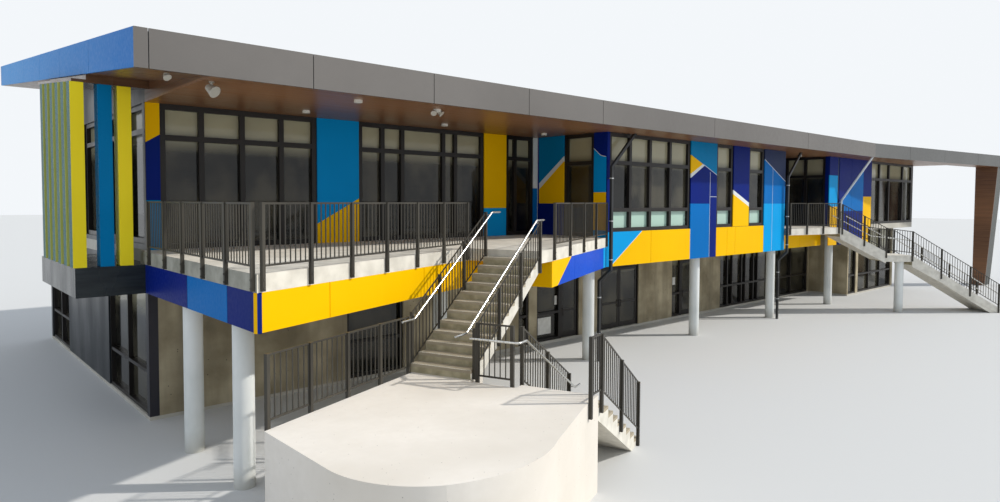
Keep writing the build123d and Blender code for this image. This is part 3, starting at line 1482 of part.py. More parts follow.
if __name__ == "__main__":
    save("ground_slab", ground_slab())
    save("ground_corner_post", ground_corner_post())
    save("ground_front_wall", ground_front_wall())
    save("ground_far_wall", ground_far_wall())
    save("ground_frames", ground_frames())
    save("ground_glass", glass_of(ground_fixed_units() + overlight_units()))
    save_doors()
    save("end_walls", end_wall_lower() + [right_wall_lower(), end_wall_upper(),
                                          right_wall_upper(), glass_box_side()])
    save("rear_wall", [rear_wall_lower(), rear_wall_upper()])
    save("columns", columns())
    save("upper_floor_slab", upper_floor_slab())
    save("block_slabs", block_slabs())
    save("balcony_slabs", [balcony_slab(), far_deck()])
    save("balcony_bands", balcony_bands() + [far_deck_band()])
    save("bay_plates", [bay_base(), bay_head()])
    save("bay_fins", bay_fins() + bay_posts())
    save("upper_front_wall", upper_front_wall() + block_side_walls())
    save("block_front_walls", [block_front_wall()] + far_block_wall())
    save("main_cladding", main_cladding() + side_cladding())
    save("block_cladding", block_cladding() + far_cladding())
    save("upper_frames", frames_of(upper_units() + spandrel_units(), UPPER_BAR))
    save("upper_glass", upper_glass())
    save("spandrels", spandrels())
    save("front_header", front_header())
    save("roof_slab", roof_slab())
    save("long_fascias", front_fascia() + [rear_fascia()])
    save("end_fascias", end_fascia() + [right_fascia()])
    save("canopy", canopy())
    save("canopy_fascia", canopy_fascia())
    save("front_soffit", front_soffit())
    save("end_soffit", end_soffit())
    save("eave_gusset", eave_gusset())
    save("pillar", pillar())
    save("pillar_boards", pillar_boards())
    save("stair_waists", [main_stair_waist(), lower_stair_waist()] + far_stair_waists())
    save("stair_treads", main_stair_treads() + lower_stair_treads() + far_stair_treads())
    save("far_stair_landing", far_stair_landing())
    save("podium", podium())
    save_guards()
    save("handrails", handrails())
    save("downpipes", downpipes())
    save("soffit_lights", soffit_lights())
    save("white_pipe", white_pipe())
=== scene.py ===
"""Looks of the two-storey school building, a scale model at 1:2. Scene units are metres, and
the sizes in the sections below are millimetres in the part's own frame unless they say so."""
import math

import bmesh
import bpy
from mathutils import Matrix, Vector


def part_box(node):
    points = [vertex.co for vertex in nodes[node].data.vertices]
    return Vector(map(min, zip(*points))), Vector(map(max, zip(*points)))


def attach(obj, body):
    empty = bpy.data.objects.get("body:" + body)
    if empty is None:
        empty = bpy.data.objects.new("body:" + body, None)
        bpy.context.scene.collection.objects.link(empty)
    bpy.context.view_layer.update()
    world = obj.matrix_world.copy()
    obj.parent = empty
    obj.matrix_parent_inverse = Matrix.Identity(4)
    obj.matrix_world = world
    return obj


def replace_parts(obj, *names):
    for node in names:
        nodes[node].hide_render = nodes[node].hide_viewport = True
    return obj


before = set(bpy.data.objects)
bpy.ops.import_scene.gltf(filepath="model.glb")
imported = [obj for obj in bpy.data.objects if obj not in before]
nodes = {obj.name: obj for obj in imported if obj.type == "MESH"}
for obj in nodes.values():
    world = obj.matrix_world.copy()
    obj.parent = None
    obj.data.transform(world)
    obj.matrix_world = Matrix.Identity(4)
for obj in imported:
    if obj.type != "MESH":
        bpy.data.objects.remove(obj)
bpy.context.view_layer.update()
scene = bpy.context.scene

# Camera: a raised viewpoint off the left front corner, looking along the balcony. The lens is
# wide, and the small shift keeps the horizon where the photograph has it.
eye = Vector((-2.0955, -8.14, 2.456))
heading = math.radians(48.1)
pitch = math.radians(-2.354)
roll = math.radians(0.230)
focal_px = 680.0
centre_above_px = 22.0
image_width_px = 1000.0
camera_data = bpy.data.cameras.new("camera")
camera = bpy.data.objects.new("camera", camera_data)
scene.collection.objects.link(camera)
scene.camera = camera
camera_data.sensor_width = 36.0
camera_data.lens = focal_px / image_width_px * camera_data.sensor_width
camera_data.shift_y = -centre_above_px / image_width_px
camera_data.clip_end = 400.0
look = Vector((math.cos(heading) * math.cos(pitch), math.sin(heading) * math.cos(pitch),
               math.sin(pitch)))
camera.matrix_world = (Matrix.Translation(eye) @ look.to_track_quat("-Z", "Y").to_matrix().to_4x4()
                       @ Matrix.Rotation(roll, 4, "Z"))

# Light: one soft sun from the front right over an even pale sky. The sky shows paler to the
# camera, to metal and to glass, and the floor keeps the building's shadow.
scene.view_settings.view_transform = "Standard"
to_sun = Vector((0.62, -0.49, 0.60)).normalized()
sun_data = bpy.data.lights.new("sun", "SUN")
sun_data.energy = 3.0
sun_data.angle = math.radians(1.5)
sun_data.color = (1.0, 0.965, 0.91)
sun = bpy.data.objects.new("sun", sun_data)
scene.collection.objects.link(sun)
sun.rotation_euler = to_sun.to_track_quat("Z", "Y").to_euler()
world = bpy.data.worlds.new("pale_sky")
scene.world = world
world.use_nodes = True
sky = world.node_tree
sky_light = sky.nodes["Background"]
sky_light.inputs["Color"].default_value = (0.80, 0.88, 1.0, 1.0)
sky_light.inputs["Strength"].default_value = 0.82
sky_seen = sky.nodes.new("ShaderNodeBackground")
sky_seen.inputs["Color"].default_value = (0.90, 0.93, 0.96, 1.0)
sky_seen.inputs["Strength"].default_value = 1.0
seen = sky.nodes.new("ShaderNodeLightPath")
any_of = seen.outputs["Is Camera Ray"]
for ray in ("Is Glossy Ray", "Is Transmission Ray"):
    either = sky.nodes.new("ShaderNodeMath")
    either.operation = "MAXIMUM"
    sky.links.new(any_of, either.inputs[0])
    sky.links.new(seen.outputs[ray], either.inputs[1])
    any_of = either.outputs[0]
sky_mix = sky.nodes.new("ShaderNodeMixShader")
sky.links.new(any_of, sky_mix.inputs[0])
sky.links.new(sky_light.outputs[0], sky_mix.inputs[1])
sky.links.new(sky_seen.outputs[0], sky_mix.inputs[2])
sky.links.new(sky_mix.outputs[0], sky.nodes["World Output"].inputs["Surface"])

floor_reach = 120.0
floor_mesh = bpy.data.meshes.new("floor")
floor_mesh.from_pydata([(-floor_reach, -floor_reach, 0), (floor_reach, -floor_reach, 0),
                        (floor_reach, floor_reach, 0), (-floor_reach, floor_reach, 0)],
                       [], [(0, 1, 2, 3)])
floor = bpy.data.objects.new("floor", floor_mesh)
scene.collection.objects.link(floor)
floor_paint = bpy.data.materials.new("floor")
floor_paint.use_nodes = True
floor_face = floor_paint.node_tree.nodes["Principled BSDF"]
floor_face.inputs["Base Color"].default_value = (0.60, 0.60, 0.585, 1)
floor_face.inputs["Roughness"].default_value = 0.95
floor_mesh.materials.append(floor_paint)


# Ground floor slab, upper floor and the blocks' floors: cast concrete, struck off level and
# left as it came from the forms, so it is mottled, faintly streaked and pitted by small voids.
def linear(red, green, blue):
    """Scene colour of an eight-bit screen colour."""
    def channel(value):
        share = value / 255.0
        return share / 12.92 if share <= 0.04045 else ((share + 0.055) / 1.055) ** 2.4
    return (channel(red), channel(green), channel(blue), 1.0)


def between(low, high, share):
    """Colour part way between two colours."""
    return tuple(a + (b - a) * share for a, b in zip(low, high))


class Finish:
    """A material whose colour, roughness and bump are all drawn from noise on the object."""

    def __init__(self, name, metallic=0.0):
        self.material = bpy.data.materials.new(name)
        self.material.use_nodes = True
        self.tree = self.material.node_tree
        self.face = self.tree.nodes["Principled BSDF"]
        self.face.inputs["Metallic"].default_value = metallic
        own = self.tree.nodes.new("ShaderNodeTexCoord")
        self.place = own.outputs["Object"]
        self.outward = own.outputs["Normal"]

    def link(self, source, target):
        """Join two sockets of the material."""
        self.tree.links.new(source, target)

    def noise(self, scale, detail=4.0, stretch=(1, 1, 1)):
        """Cloudy pattern, scale patches to the metre, drawn out along an axis by stretch."""
        mapping = self.tree.nodes.new("ShaderNodeMapping")
        mapping.inputs["Scale"].default_value = stretch
        self.link(self.place, mapping.inputs["Vector"])
        texture = self.tree.nodes.new("ShaderNodeTexNoise")
        texture.inputs["Scale"].default_value = scale
        texture.inputs["Detail"].default_value = detail
        self.link(mapping.outputs[0], texture.inputs["Vector"])
        return texture.outputs["Fac"]

    def clouds(self, noise, low, high, start=0.0, end=1.0):
        """Cloudy pattern from its scale, detail and stretch, with its values from low to high
        stretched from start to end."""
        return self.span(self.noise(*noise), low, high, start, end)

    def pits(self, scale, size):
        """Small round spots, one in each cell of scale to the metre."""
        cells = self.tree.nodes.new("ShaderNodeTexVoronoi")
        cells.inputs["Scale"].default_value = scale
        self.link(self.place, cells.inputs["Vector"])
        return self.span(cells.outputs["Distance"], size, size * 1.6)

    def span(self, source, low, high, start=0.0, end=1.0):
        """A pattern's values from low to high, stretched from start to end."""
        node = self.tree.nodes.new("ShaderNodeMapRange")
        node.inputs["From Min"].default_value = low
        node.inputs["From Max"].default_value = high
        node.inputs["To Min"].default_value = start
        node.inputs["To Max"].default_value = end
        self.link(source, node.inputs["Value"])
        return node.outputs["Result"]

    def sum_of(self, first, second, operation="ADD"):
        """Two patterns put together by one sum."""
        node = self.tree.nodes.new("ShaderNodeMath")
        node.operation = operation
        for value, socket in ((first, node.inputs[0]), (second, node.inputs[1])):
            if isinstance(value, (int, float)):
                socket.default_value = value
            else:
                self.link(value, socket)
        return node.outputs[0]

    def axis(self, letter):
        """One coordinate of the object."""
        node = self.tree.nodes.new("ShaderNodeSeparateXYZ")
        self.link(self.place, node.inputs[0])
        return node.outputs[letter]

    def facing(self, direction):
        """How squarely the surface faces a direction of the object, either way, from 0 to 1."""
        node = self.tree.nodes.new("ShaderNodeVectorMath")
        node.operation = "DOT_PRODUCT"
        node.inputs[1].default_value = direction
        self.link(self.outward, node.inputs[0])
        return self.sum_of(node.outputs["Value"], 0.0, "ABSOLUTE")

    def blend(self, share, first, second):
        """Colour between two colours or colour sockets by a pattern's share."""
        node = self.tree.nodes.new("ShaderNodeMix")
        node.data_type = "RGBA"
        self.link(share, node.inputs["Factor"])
        for value, socket in ((first, node.inputs[6]), (second, node.inputs[7])):
            if isinstance(value, tuple):
                socket.default_value = value
            else:
                self.link(value, socket)
        return node.outputs[2]

    def colour(self, socket):
        """Colour of the surface from a pattern."""
        self.link(socket, self.face.inputs["Base Color"])

    def roughness(self, socket):
        """Roughness of the surface from a pattern."""
        self.link(socket, self.face.inputs["Roughness"])

    def relief(self, socket, height, strength=1.0):
        """Fine relief, height metres deep."""
        node = self.tree.nodes.new("ShaderNodeBump")
        node.inputs["Distance"].default_value = height
        node.inputs["Strength"].default_value = strength
        self.link(socket, node.inputs["Height"])
        self.link(node.outputs[0], self.face.inputs["Normal"])


def dress(finish, *names):
    """Give CAD nodes a finish."""
    for name in names:
        mesh = nodes[name].data
        mesh.materials.clear()
        mesh.materials.append(finish.material)


def cast_concrete(name, pale, dark, pit_scale=9.0):
    """Concrete with clouds of two tones, small voids and a sandy surface."""
    finish = Finish(name)
    clouds = finish.clouds((0.9, 8.0), 0.36, 0.66)
    fine = finish.noise(14.0, 6.0)
    voids = finish.pits(pit_scale, 0.045)
    tone = finish.blend(clouds, dark, pale)
    tone = finish.blend(finish.span(fine, 0.35, 0.7, 0.0, 0.35), tone, between(dark, pale, 0.35))
    finish.colour(finish.blend(voids, between((0, 0, 0, 1), dark, 0.6), tone))
    finish.roughness(finish.span(fine, 0.3, 0.7, 0.72, 0.92))
    finish.relief(finish.sum_of(fine, voids), 0.002, 0.5)
    return finish


slab_finish = cast_concrete("slab_concrete", linear(205, 200, 188), linear(172, 167, 154))
dress(slab_finish, "ground_slab", "upper_floor_slab", "block_slabs")

# Front wall of the ground floor: precast concrete piers between the glazed units, unpainted,
# darkened by weather in broad patches and by runs of water that come down from the deck.
precast = Finish("precast_concrete")
patches = precast.clouds((1.7, 9.0), 0.38, 0.64)
runs = precast.clouds((5.0, 5.0, (1.0, 1.0, 0.12)), 0.42, 0.7, 0.0, 0.55)
precast_grain = precast.noise(22.0, 6.0)
precast_voids = precast.pits(11.0, 0.05)
precast_tone = precast.blend(patches, linear(140, 128, 101), linear(188, 175, 145))
precast_tone = precast.blend(runs, precast_tone, linear(116, 105, 82))
precast.colour(precast.blend(precast_voids, linear(58, 52, 42), precast_tone))
precast.roughness(precast.span(precast_grain, 0.3, 0.7, 0.70, 0.92))
precast.relief(precast.sum_of(precast_grain, precast_voids), 0.003, 0.6)
dress(precast, "ground_front_wall", "ground_far_wall")


# End, rear and inner walls, the header under the roof and the bay's plates: sheets of dark
# satin cladding on rails, with slim upright joints, a little dust and rain marks.
def satin_sheet(name, base, worn, joint_pitch=0.0, roughness=(0.32, 0.55)):
    """Coated sheet: two close tones, level runs of dust, and joints at a pitch in metres."""
    finish = Finish(name)
    dust = finish.clouds((2.2, 6.0, (1.0, 1.0, 0.35)), 0.4, 0.72)
    fine = finish.noise(60.0, 3.0)
    tone = finish.blend(dust, base, worn)
    relief = fine
    if joint_pitch:
        across = finish.sum_of(finish.axis("X"), finish.axis("Y"))
        place = finish.sum_of(across, joint_pitch, "PINGPONG")
        joint = finish.span(place, 0.0, 0.006)
        tone = finish.blend(joint, between((0, 0, 0, 1), base, 0.3), tone)
        relief = finish.sum_of(finish.sum_of(fine, 0.05, "MULTIPLY"), joint)
    finish.colour(tone)
    finish.roughness(finish.span(dust, 0.0, 1.0, *roughness))
    finish.relief(relief, 0.0015, 0.35)
    finish.face.inputs["Specular IOR Level"].default_value = 0.25
    return finish


wall_sheet = satin_sheet("dark_wall_sheet", linear(32, 37, 42), linear(46, 51, 55), 0.6)
dress(wall_sheet, "end_walls", "rear_wall")
liner = satin_sheet("dark_liner", linear(46, 41, 36), linear(58, 52, 45))
dress(liner, "upper_front_wall", "block_front_walls", "front_header")
corner_sheet = satin_sheet("corner_post_sheet", linear(43, 42, 48), linear(60, 58, 62))
dress(corner_sheet, "ground_corner_post")
bay_sheet = satin_sheet("bay_sheet", linear(34, 39, 42), linear(50, 56, 58), 0.0, (0.20, 0.34))
over_fins = bay_sheet.span(bay_sheet.axis("Z"), 3.2, 3.3)
head_grain = bay_sheet.clouds((30.0, 5.0, (0.1, 1.0, 1.0)), 0.35, 0.65)
bay_base_tone = bay_sheet.blend(head_grain, linear(34, 39, 42), linear(44, 50, 52))
bay_head_tone = bay_sheet.blend(head_grain, linear(84, 60, 42), linear(106, 76, 54))
bay_sheet.colour(bay_sheet.blend(over_fins, bay_base_tone, bay_head_tone))
dress(bay_sheet, "bay_plates")

# Columns: steel tubes with concrete inside, painted off-white, scuffed and splashed near the
# foot, standing on the paving and bolted to the slab above.
column_paint = Finish("column_paint")
scuffs = column_paint.clouds((3.0, 8.0, (1.0, 1.0, 0.5)), 0.42, 0.7)
splash = column_paint.span(column_paint.axis("Z"), 0.0, 0.22, 0.8, 0.0)
column_tone = column_paint.blend(scuffs, linear(226, 228, 224), linear(203, 207, 203))
column_paint.colour(column_paint.blend(splash, column_tone, linear(176, 174, 164)))
column_paint.roughness(column_paint.span(scuffs, 0.0, 1.0, 0.38, 0.6))
column_paint.relief(column_paint.noise(40.0, 3.0), 0.0006, 0.3)
dress(column_paint, "columns")

# Window frames and door leaves: aluminium bars coated near black, cut square, with a satin
# face that is dusty in the corners. The leaves turn on pivots and carry a pull on each face.
bars = satin_sheet("bar_coating", linear(32, 29, 27), linear(47, 43, 40), 0.0, (0.3, 0.5))
door_names = ("poster_door", "double_door_left", "double_door_right", "side_door")
dress(bars, "ground_frames", "upper_frames", *[name + "_leaf" for name in door_names])


# Glass: float glass with a brown-grey body which mostly mirrors what is in front. On the window
# glass the dark rooms behind are painted in as cloudy painted shade, and the upper panes of each
# storey are painted paler as painted light. It is slightly wavy and carries a faint film of dust.
def tinted_glass(name, body, film, opacity):
    """Dark glass with a slow wave in its surface and a thin film of dust."""
    finish = Finish(name)
    finish.film = finish.clouds((1.1, 5.0), 0.45, 0.8, 0.0, 0.3)
    finish.colour(finish.blend(finish.film, body, film))
    finish.roughness(finish.clouds((3.0, 3.0), 0.3, 0.7, 0.03, 0.08))
    finish.relief(finish.noise(0.8, 1.0), 0.004, 0.25)
    finish.face.inputs["IOR"].default_value = 1.45
    finish.face.inputs["Alpha"].default_value = opacity
    return finish


window_glass = tinted_glass("window_glass", linear(22, 23, 19), linear(70, 67, 56), 0.85)
# Painted shade of the dark rooms in clouds, and painted light that makes each storey's upper panes
# paler.
painted_room_shade_clouds = window_glass.clouds((1.6, 5.0, (1.0, 1.0, 0.7)), 0.46, 0.62)
storey = window_glass.sum_of(window_glass.axis("Z"), 1.9, "MODULO")
height = window_glass.span(storey, 1.08, 1.3, 0.0, 0.85)
painted_dark_rooms = window_glass.blend(painted_room_shade_clouds, linear(22, 22, 19), linear(74, 70, 57))
upper_painted_light = window_glass.blend(height, painted_dark_rooms, linear(190, 184, 152))
window_glass.colour(window_glass.blend(window_glass.film, upper_painted_light, linear(92, 88, 76)))
dress(window_glass, "ground_glass", "upper_glass", *[name + "_glass" for name in door_names])
spandrel_glass = tinted_glass("spandrel_glass", linear(172, 200, 184), linear(196, 212, 200), 1.0)
dress(spandrel_glass, "spandrels")


# Coloured cladding of the upper floor: flat coated panels, each cut from sheets of a few
# strong colours along slanting lines, screwed to rails with a slim open joint between them.
def wall_line(start, end):
    """Upright plane through two points of the plan: its start, direction and outward side."""
    along = Vector((end[0] - start[0], end[1] - start[1], 0)).normalized()
    return Vector((start[0], start[1], 0)), along, Vector((along.y, -along.x, 0))


def on_wall(line, s, z, out):
    """Point in metres, s along a wall line, z up and out in front of it."""
    origin, along, outward = line
    return (origin + along * s + outward * out + Vector((0, 0, z))) * 0.001


def add_prism(shape, near, back):
    """Closed solid between two outlines with as many corners, given in metres."""
    near = [shape.verts.new(corner) for corner in near]
    back = [shape.verts.new(corner) for corner in back]
    shape.faces.new(near)
    shape.faces.new(back[::-1])
    for i in range(len(near)):
        j = (i + 1) % len(near)
        shape.faces.new((near[j], near[i], back[i], back[j]))


def add_sheet(shape, line, outline, front, depth):
    """Flat sheet on a wall line, from its front face inwards."""
    add_prism(shape, [on_wall(line, s, z, front) for s, z in outline],
              [on_wall(line, s, z, front - depth) for s, z in outline])


def rectangle(s_low, s_high, z_low, z_high):
    """Corners of an upright rectangle."""
    return [(s_low, z_low), (s_high, z_low), (s_high, z_high), (s_low, z_high)]


def cut_outline(outline, line):
    """The parts of an outline on the left and on the right of a line between two points."""
    (s0, z0), (s1, z1) = line
    sides = [(s1 - s0) * (z - z0) - (z1 - z0) * (s - s0) for s, z in outline]
    left = []
    right = []
    for i, (point, side) in enumerate(zip(outline, sides)):
        j = (i + 1) % len(outline)
        if side >= 0:
            left.append(point)
        if side <= 0:
            right.append(point)
        if side * sides[j] < 0:
            share = side / (side - sides[j])
            crossing = (point[0] + (outline[j][0] - point[0]) * share,
                        point[1] + (outline[j][1] - point[1]) * share)
            left.append(crossing)
            right.append(crossing)
    return left, right


def area_of(outline):
    """Area of an outline."""
    total = 0.0
    for (s0, z0), (s1, z1) in zip(outline, outline[1:] + outline[:1]):
        total += s0 * z1 - s1 * z0
    return abs(total) / 2


def coloured(outline, plan):
    """Colour and outline of each field of a panel. A plan is a colour, or a cutting line with
    the plan of its left side and the plan of its right side."""
    if isinstance(plan, str):
        return [(plan, outline)]
    fields = []
    for part, rest in zip(cut_outline(outline, plan[0]), plan[1:]):
        if len(part) > 2 and area_of(part) > 50.0:
            fields += coloured(part, rest)
    return fields


def level(z):
    """Level cutting line, with what is above it on its left."""
    return ((0, z), (1000, z))


def upright(s):
    """Upright cutting line, with what is before it on its left."""
    return ((s, 0), (s, 1000))


def coat(name, base, shade, roughness=(0.34, 0.48)):
    """Gloss coating of a cladding panel: even colour with a soft change of tone and dust."""
    finish = Finish(name)
    soft = finish.clouds((0.7, 3.0), 0.35, 0.7)
    streaks = finish.clouds((9.0, 4.0, (1.0, 1.0, 0.06)), 0.45, 0.8, 0.0, 0.12)
    tone = finish.blend(soft, base, shade)
    finish.colour(finish.blend(streaks, tone, between(base, shade, 1.6)))
    finish.roughness(finish.clouds((30.0, 4.0), 0.3, 0.7, *roughness))
    finish.relief(finish.noise(1.5, 2.0), 0.003, 0.12)
    finish.face.inputs["Specular IOR Level"].default_value = 0.05
    return finish


# A lighter blue is painted fill light for the panels that stand in the shade of the roof.
coats = {
    "yellow": coat("yellow_coat", linear(248, 192, 0), linear(240, 184, 0)),
    "blue": coat("blue_coat", linear(4, 110, 186), linear(4, 102, 172)),
    "light_blue": coat("light_blue_coat", linear(10, 160, 226), linear(18, 150, 212)),
    "navy": coat("navy_coat", linear(8, 32, 120), linear(14, 36, 106)),
    "painted_fill_blue": coat("painted_fill_blue_coat", linear(2, 146, 214), linear(2, 138, 202)),
    "teal": coat("teal_coat", linear(4, 130, 184), linear(4, 120, 170)),
    "white": coat("white_coat", linear(226, 230, 228), linear(214, 219, 218)),
    "royal": coat("royal_coat", linear(30, 84, 200), linear(26, 76, 186)),
    "slate": coat("slate_coat", linear(44, 56, 92), linear(52, 62, 88)),
}


def make_piece(name, shape, finish, body="building", bevel=0.0):
    """Turn a built shape into a closed piece that rides on a body of the part."""
    bmesh.ops.recalc_face_normals(shape, faces=shape.faces)
    if bevel:
        bmesh.ops.bevel(shape, geom=list(shape.edges), offset=bevel, segments=1,
                        affect="EDGES", clamp_overlap=True)
    mesh = bpy.data.meshes.new(name)
    shape.to_mesh(mesh)
    shape.free()
    mesh.materials.append(finish.material)
    piece = bpy.data.objects.new(name, mesh)
    scene.collection.objects.link(piece)
    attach(piece, body)
    return piece


sheet_edge = 0.0018


def clad(name, node, fields):
    """One piece for each colour of a group of panels, in place of their CAD node. A field is
    its colour, wall line, outline, front face and depth."""
    for colour in coats:
        chosen = [field for field in fields if field[0] == colour]
        if chosen:
            shape = bmesh.new()
            for _, line, outline, front, depth in chosen:
                add_sheet(shape, line, outline, front, depth)
            piece = make_piece(name + "_" + colour, shape, coats[colour], bevel=sheet_edge)
            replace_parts(piece, node)


def panel_fields(line, spans, z, plans):
    """Fields of the panels between pairs of places along a wall line, each with its plan."""
    joint = 3
    fields = []
    for (low, high), plan in zip(spans, plans):
        outline = rectangle(low + joint, high - joint, z[0], z[1])
        for colour, part in coloured(outline, plan):
            fields.append((colour, line, part, 0, 20))
    return fields


deck_z = 1900
soffit_z = 3520
band_z = 1452
sill_z = 1985
front_line = wall_line((0, 0), (19820, 0))
side_line = wall_line((6050, 0), (6050, -1500))
block_line = wall_line((6050, -1500), (11900, -1500))
recess_side_line = wall_line((11900, -1500), (11900, 0))
far_side_line = wall_line((14090, 0), (14090, -1500))
far_line = wall_line((14090, -1500), (19820, -1500))

# Front and side panels in the shade of the roof take the lighter blue, which is painted fill light.
wall_panels = panel_fields(
    front_line,
    ((0, 150), (2030, 2645), (4870, 5345), (5955, 6050), (11900, 12300), (13700, 14090)),
    (deck_z, soffit_z),
    (
        (((0, 3083), (149, 3179)), "yellow", (level(2450), "navy", "teal")),
        (((2033, 2155), (2655, 2491)), "painted_fill_blue", "yellow"),
        (level(2345), "yellow", "light_blue"),
        (level(2673), "white", "blue"),
        (level(2700), "navy", "blue"),
        (level(2250), "blue", "navy"),
    ))
wall_panels += panel_fields(
    side_line, ((0, 37), (37, 605), (1230, 1480)), (deck_z, soffit_z),
    (
        "navy",
        (((-66, 2674), (557, 3150)), "teal",
         (((-43, 2589), (557, 3069)), "white", (level(2420), "yellow", "navy"))),
        (((1232, 3278), (1372, 3165)),
         (((1372, 3165), (1480, 3139)), "navy", "painted_fill_blue"),
         (level(2598), "painted_fill_blue", (level(2010), "yellow", "light_blue"))),
    ))
wall_panels += panel_fields(recess_side_line, ((20, 760), (760, 1500)), (deck_z, soffit_z),
                            ((level(2600), "navy", "blue"), "blue"))
wall_panels += panel_fields(far_side_line, ((0, 450), (1400, 1480)), (deck_z, soffit_z),
                            ((level(2400), "navy", "blue"), "navy"))
clad("upper_wall_panels", "main_cladding", wall_panels)

block_panels = panel_fields(
    block_line, ((2290, 3150), (4945, 5850)), (band_z, soffit_z),
    (
        (((2307, 3271), (3133, 2953)), "teal",
         (((2311, 2957), (2674, 3130)), "yellow",
          (((2318, 2887), (2727, 3103)), "white",
           (level(2424), "navy", (upright(2917), "blue", "navy"))))),
        (((4945, 3312), (5882, 2873)), "slate", (level(2426), "blue", "light_blue")),
    ))
block_panels += panel_fields(
    block_line, ((0, 70), (3740, 4340)), (sill_z + 6, soffit_z),
    (
        "navy",
        (((3816, 2655), (4353, 2437)), "navy",
         (((3818, 2572), (4355, 2359)), "white", "yellow")),
    ))
block_panels += panel_fields(
    block_line, ((0, 1145), (1145, 2290), (3150, 3539), (3539, 3831), (3831, 4945)),
    (band_z, sill_z),
    ((((100, 1452), (901, 1985)), "light_blue", "yellow"), "yellow", "yellow", "yellow", "yellow"))
block_panels += panel_fields(
    far_line, ((0, 464), (560, 1290), (1290, 2028), (2028, 2560)), (band_z, soffit_z),
    (
        (level(3085), "navy", (level(2356), "light_blue", "yellow")),
        (((642, 2496), (2337, 3434)), "navy", (level(2250), "blue", "navy")),
        (((642, 2496), (2337, 3434)), "navy", (level(2250), "blue", "navy")),
        (level(2606), "navy", "yellow"),
    ))
block_panels.append(("slate", far_line, rectangle(467, 557, band_z, soffit_z), -8, 12))
clad("block_panels", "block_cladding", block_panels)

# Cover strips: thin white aluminium angles over the slanting cuts and some level joints of the
# block's panels, riveted flat on the coloured sheets.
strip_lines = (
    (block_line, (2690, 3123), (3147, 2947), 9), (block_line, (2917, 1452), (2917, 2990), 7),
    (block_line, (2920, 2550), (3147, 2550), 7), (block_line, (4948, 3311), (5847, 2889), 10),
    (block_line, (2290, 1452), (2290, sill_z), 5), (block_line, (96, 1452), (897, 1985), 8),
    (block_line, (5290, 1455), (5290, 3146), 6), (side_line, (1233, 3277), (1372, 3165), 8),
    (side_line, (1372, 3165), (1477, 3139), 8), (far_line, (642, 2496), (2025, 3261), 10),
    (side_line, (6, 1903), (6, 3517), 8),
)
strip_shape = bmesh.new()
for line, start, end, width in strip_lines:
    length = math.hypot(end[0] - start[0], end[1] - start[1])
    half = width / 2 / length
    across = (-(end[1] - start[1]) * half, (end[0] - start[0]) * half)
    outline = [(start[0] - across[0], start[1] - across[1]),
               (end[0] - across[0], end[1] - across[1]),
               (end[0] + across[0], end[1] + across[1]),
               (start[0] + across[0], start[1] + across[1])]
    add_sheet(strip_shape, line, outline, 2.5, 4)
make_piece("cover_strips", strip_shape, coats["white"], bevel=0.0006)

# Bands under the balcony and the recess deck: folded coated sheets hung from the slab's edge,
# navy and blue on the end, yellow along the stair, and blue again beside the main block.
balcony_turn = math.radians(21.8)
balcony_corner = (-70, -3168)


def balcony(u, n):
    """Point of the plan, u along the balcony front and n in front of it."""
    return (balcony_corner[0] + u * math.cos(balcony_turn) + n * math.sin(balcony_turn),
            balcony_corner[1] + u * math.sin(balcony_turn) - n * math.cos(balcony_turn))


band_top = 1760
band_side = wall_line((-70, -190), balcony_corner)
band_front = wall_line(balcony_corner, balcony(3600, 0))
band_return = wall_line(balcony(3600, 0), balcony(3600, 920))
band_right = wall_line(balcony(3600, 920), (6050, -1500))
recess_band = wall_line((11900, -1330), (14084, -1330))
band_fields = []
for line, stops, end_cuts, plans in (
        (band_side, (0, 1370, 2366, 2978), (0, 40), ("navy", "blue", "navy")),
        (band_front, (0, 817, 2299, 3600), (0, 44), ("yellow", "yellow", "yellow")),
        (band_return, (0, 920), (0, 42), ("yellow",)),
        (band_right, (0, 955, 2530, 2709), (0, 48),
         ((((265, 1471), (824, 1766)), "yellow", "royal"), "royal", "light_blue")),
        (recess_band, (0, 1090, 2184), (0, 0), ("yellow", "yellow"))):
    for i, plan in enumerate(plans):
        low = stops[i] + (3 if i else end_cuts[0])
        high = stops[i + 1] - (3 if i < len(plans) - 1 else 0)
        for colour, part in coloured(rectangle(low, high, band_z, band_top), plan):
            band_fields.append((colour, line, part, 0, 38))
clad("deck_bands", "balcony_bands", band_fields)

# Sun fins and posts of the bay: boxed aluminium blades, yellow-coated on the front and teal on
# the flank, fixed between the bay's base and its head plate, with a blue and a yellow post. The
# fronts of the fins behind the first are painted a paler yellow-green, as painted shade.
fin_yellow = coat("fin_yellow_coat", linear(255, 232, 46), linear(248, 222, 44), (0.25, 0.4))
# The fins behind the first get a paler yellow-green front, which is painted shade.
fin_face_painted_shade = coat("fin_face_painted_shade_coat", linear(206, 208, 110), linear(190, 196, 100), (0.25, 0.4))
fin_teal = coat("fin_teal_coat", linear(2, 96, 96), linear(4, 82, 84), (0.25, 0.4))
post_blue = coat("post_blue_coat", linear(4, 124, 180), linear(4, 114, 166), (0.25, 0.4))
roof_slope = math.tan(math.radians(6.0))
fin_pitch = 320
fin_first = -190
fin_depth = 165


def fin_top(y):
    """Height of the underside of the bay's head plate."""
    return 3636 + (y - fin_first) * roof_slope


def add_fin(shape, x, y):
    """Upright blade between two places in x and two in y, cut along the head plate on top."""
    low = [(x[0], y[0]), (x[1], y[0]), (x[1], y[1]), (x[0], y[1])]
    add_prism(shape, [Vector((px, py, fin_top(py))) * 0.001 for px, py in low],
              [Vector((px, py, band_top)) * 0.001 for px, py in low])


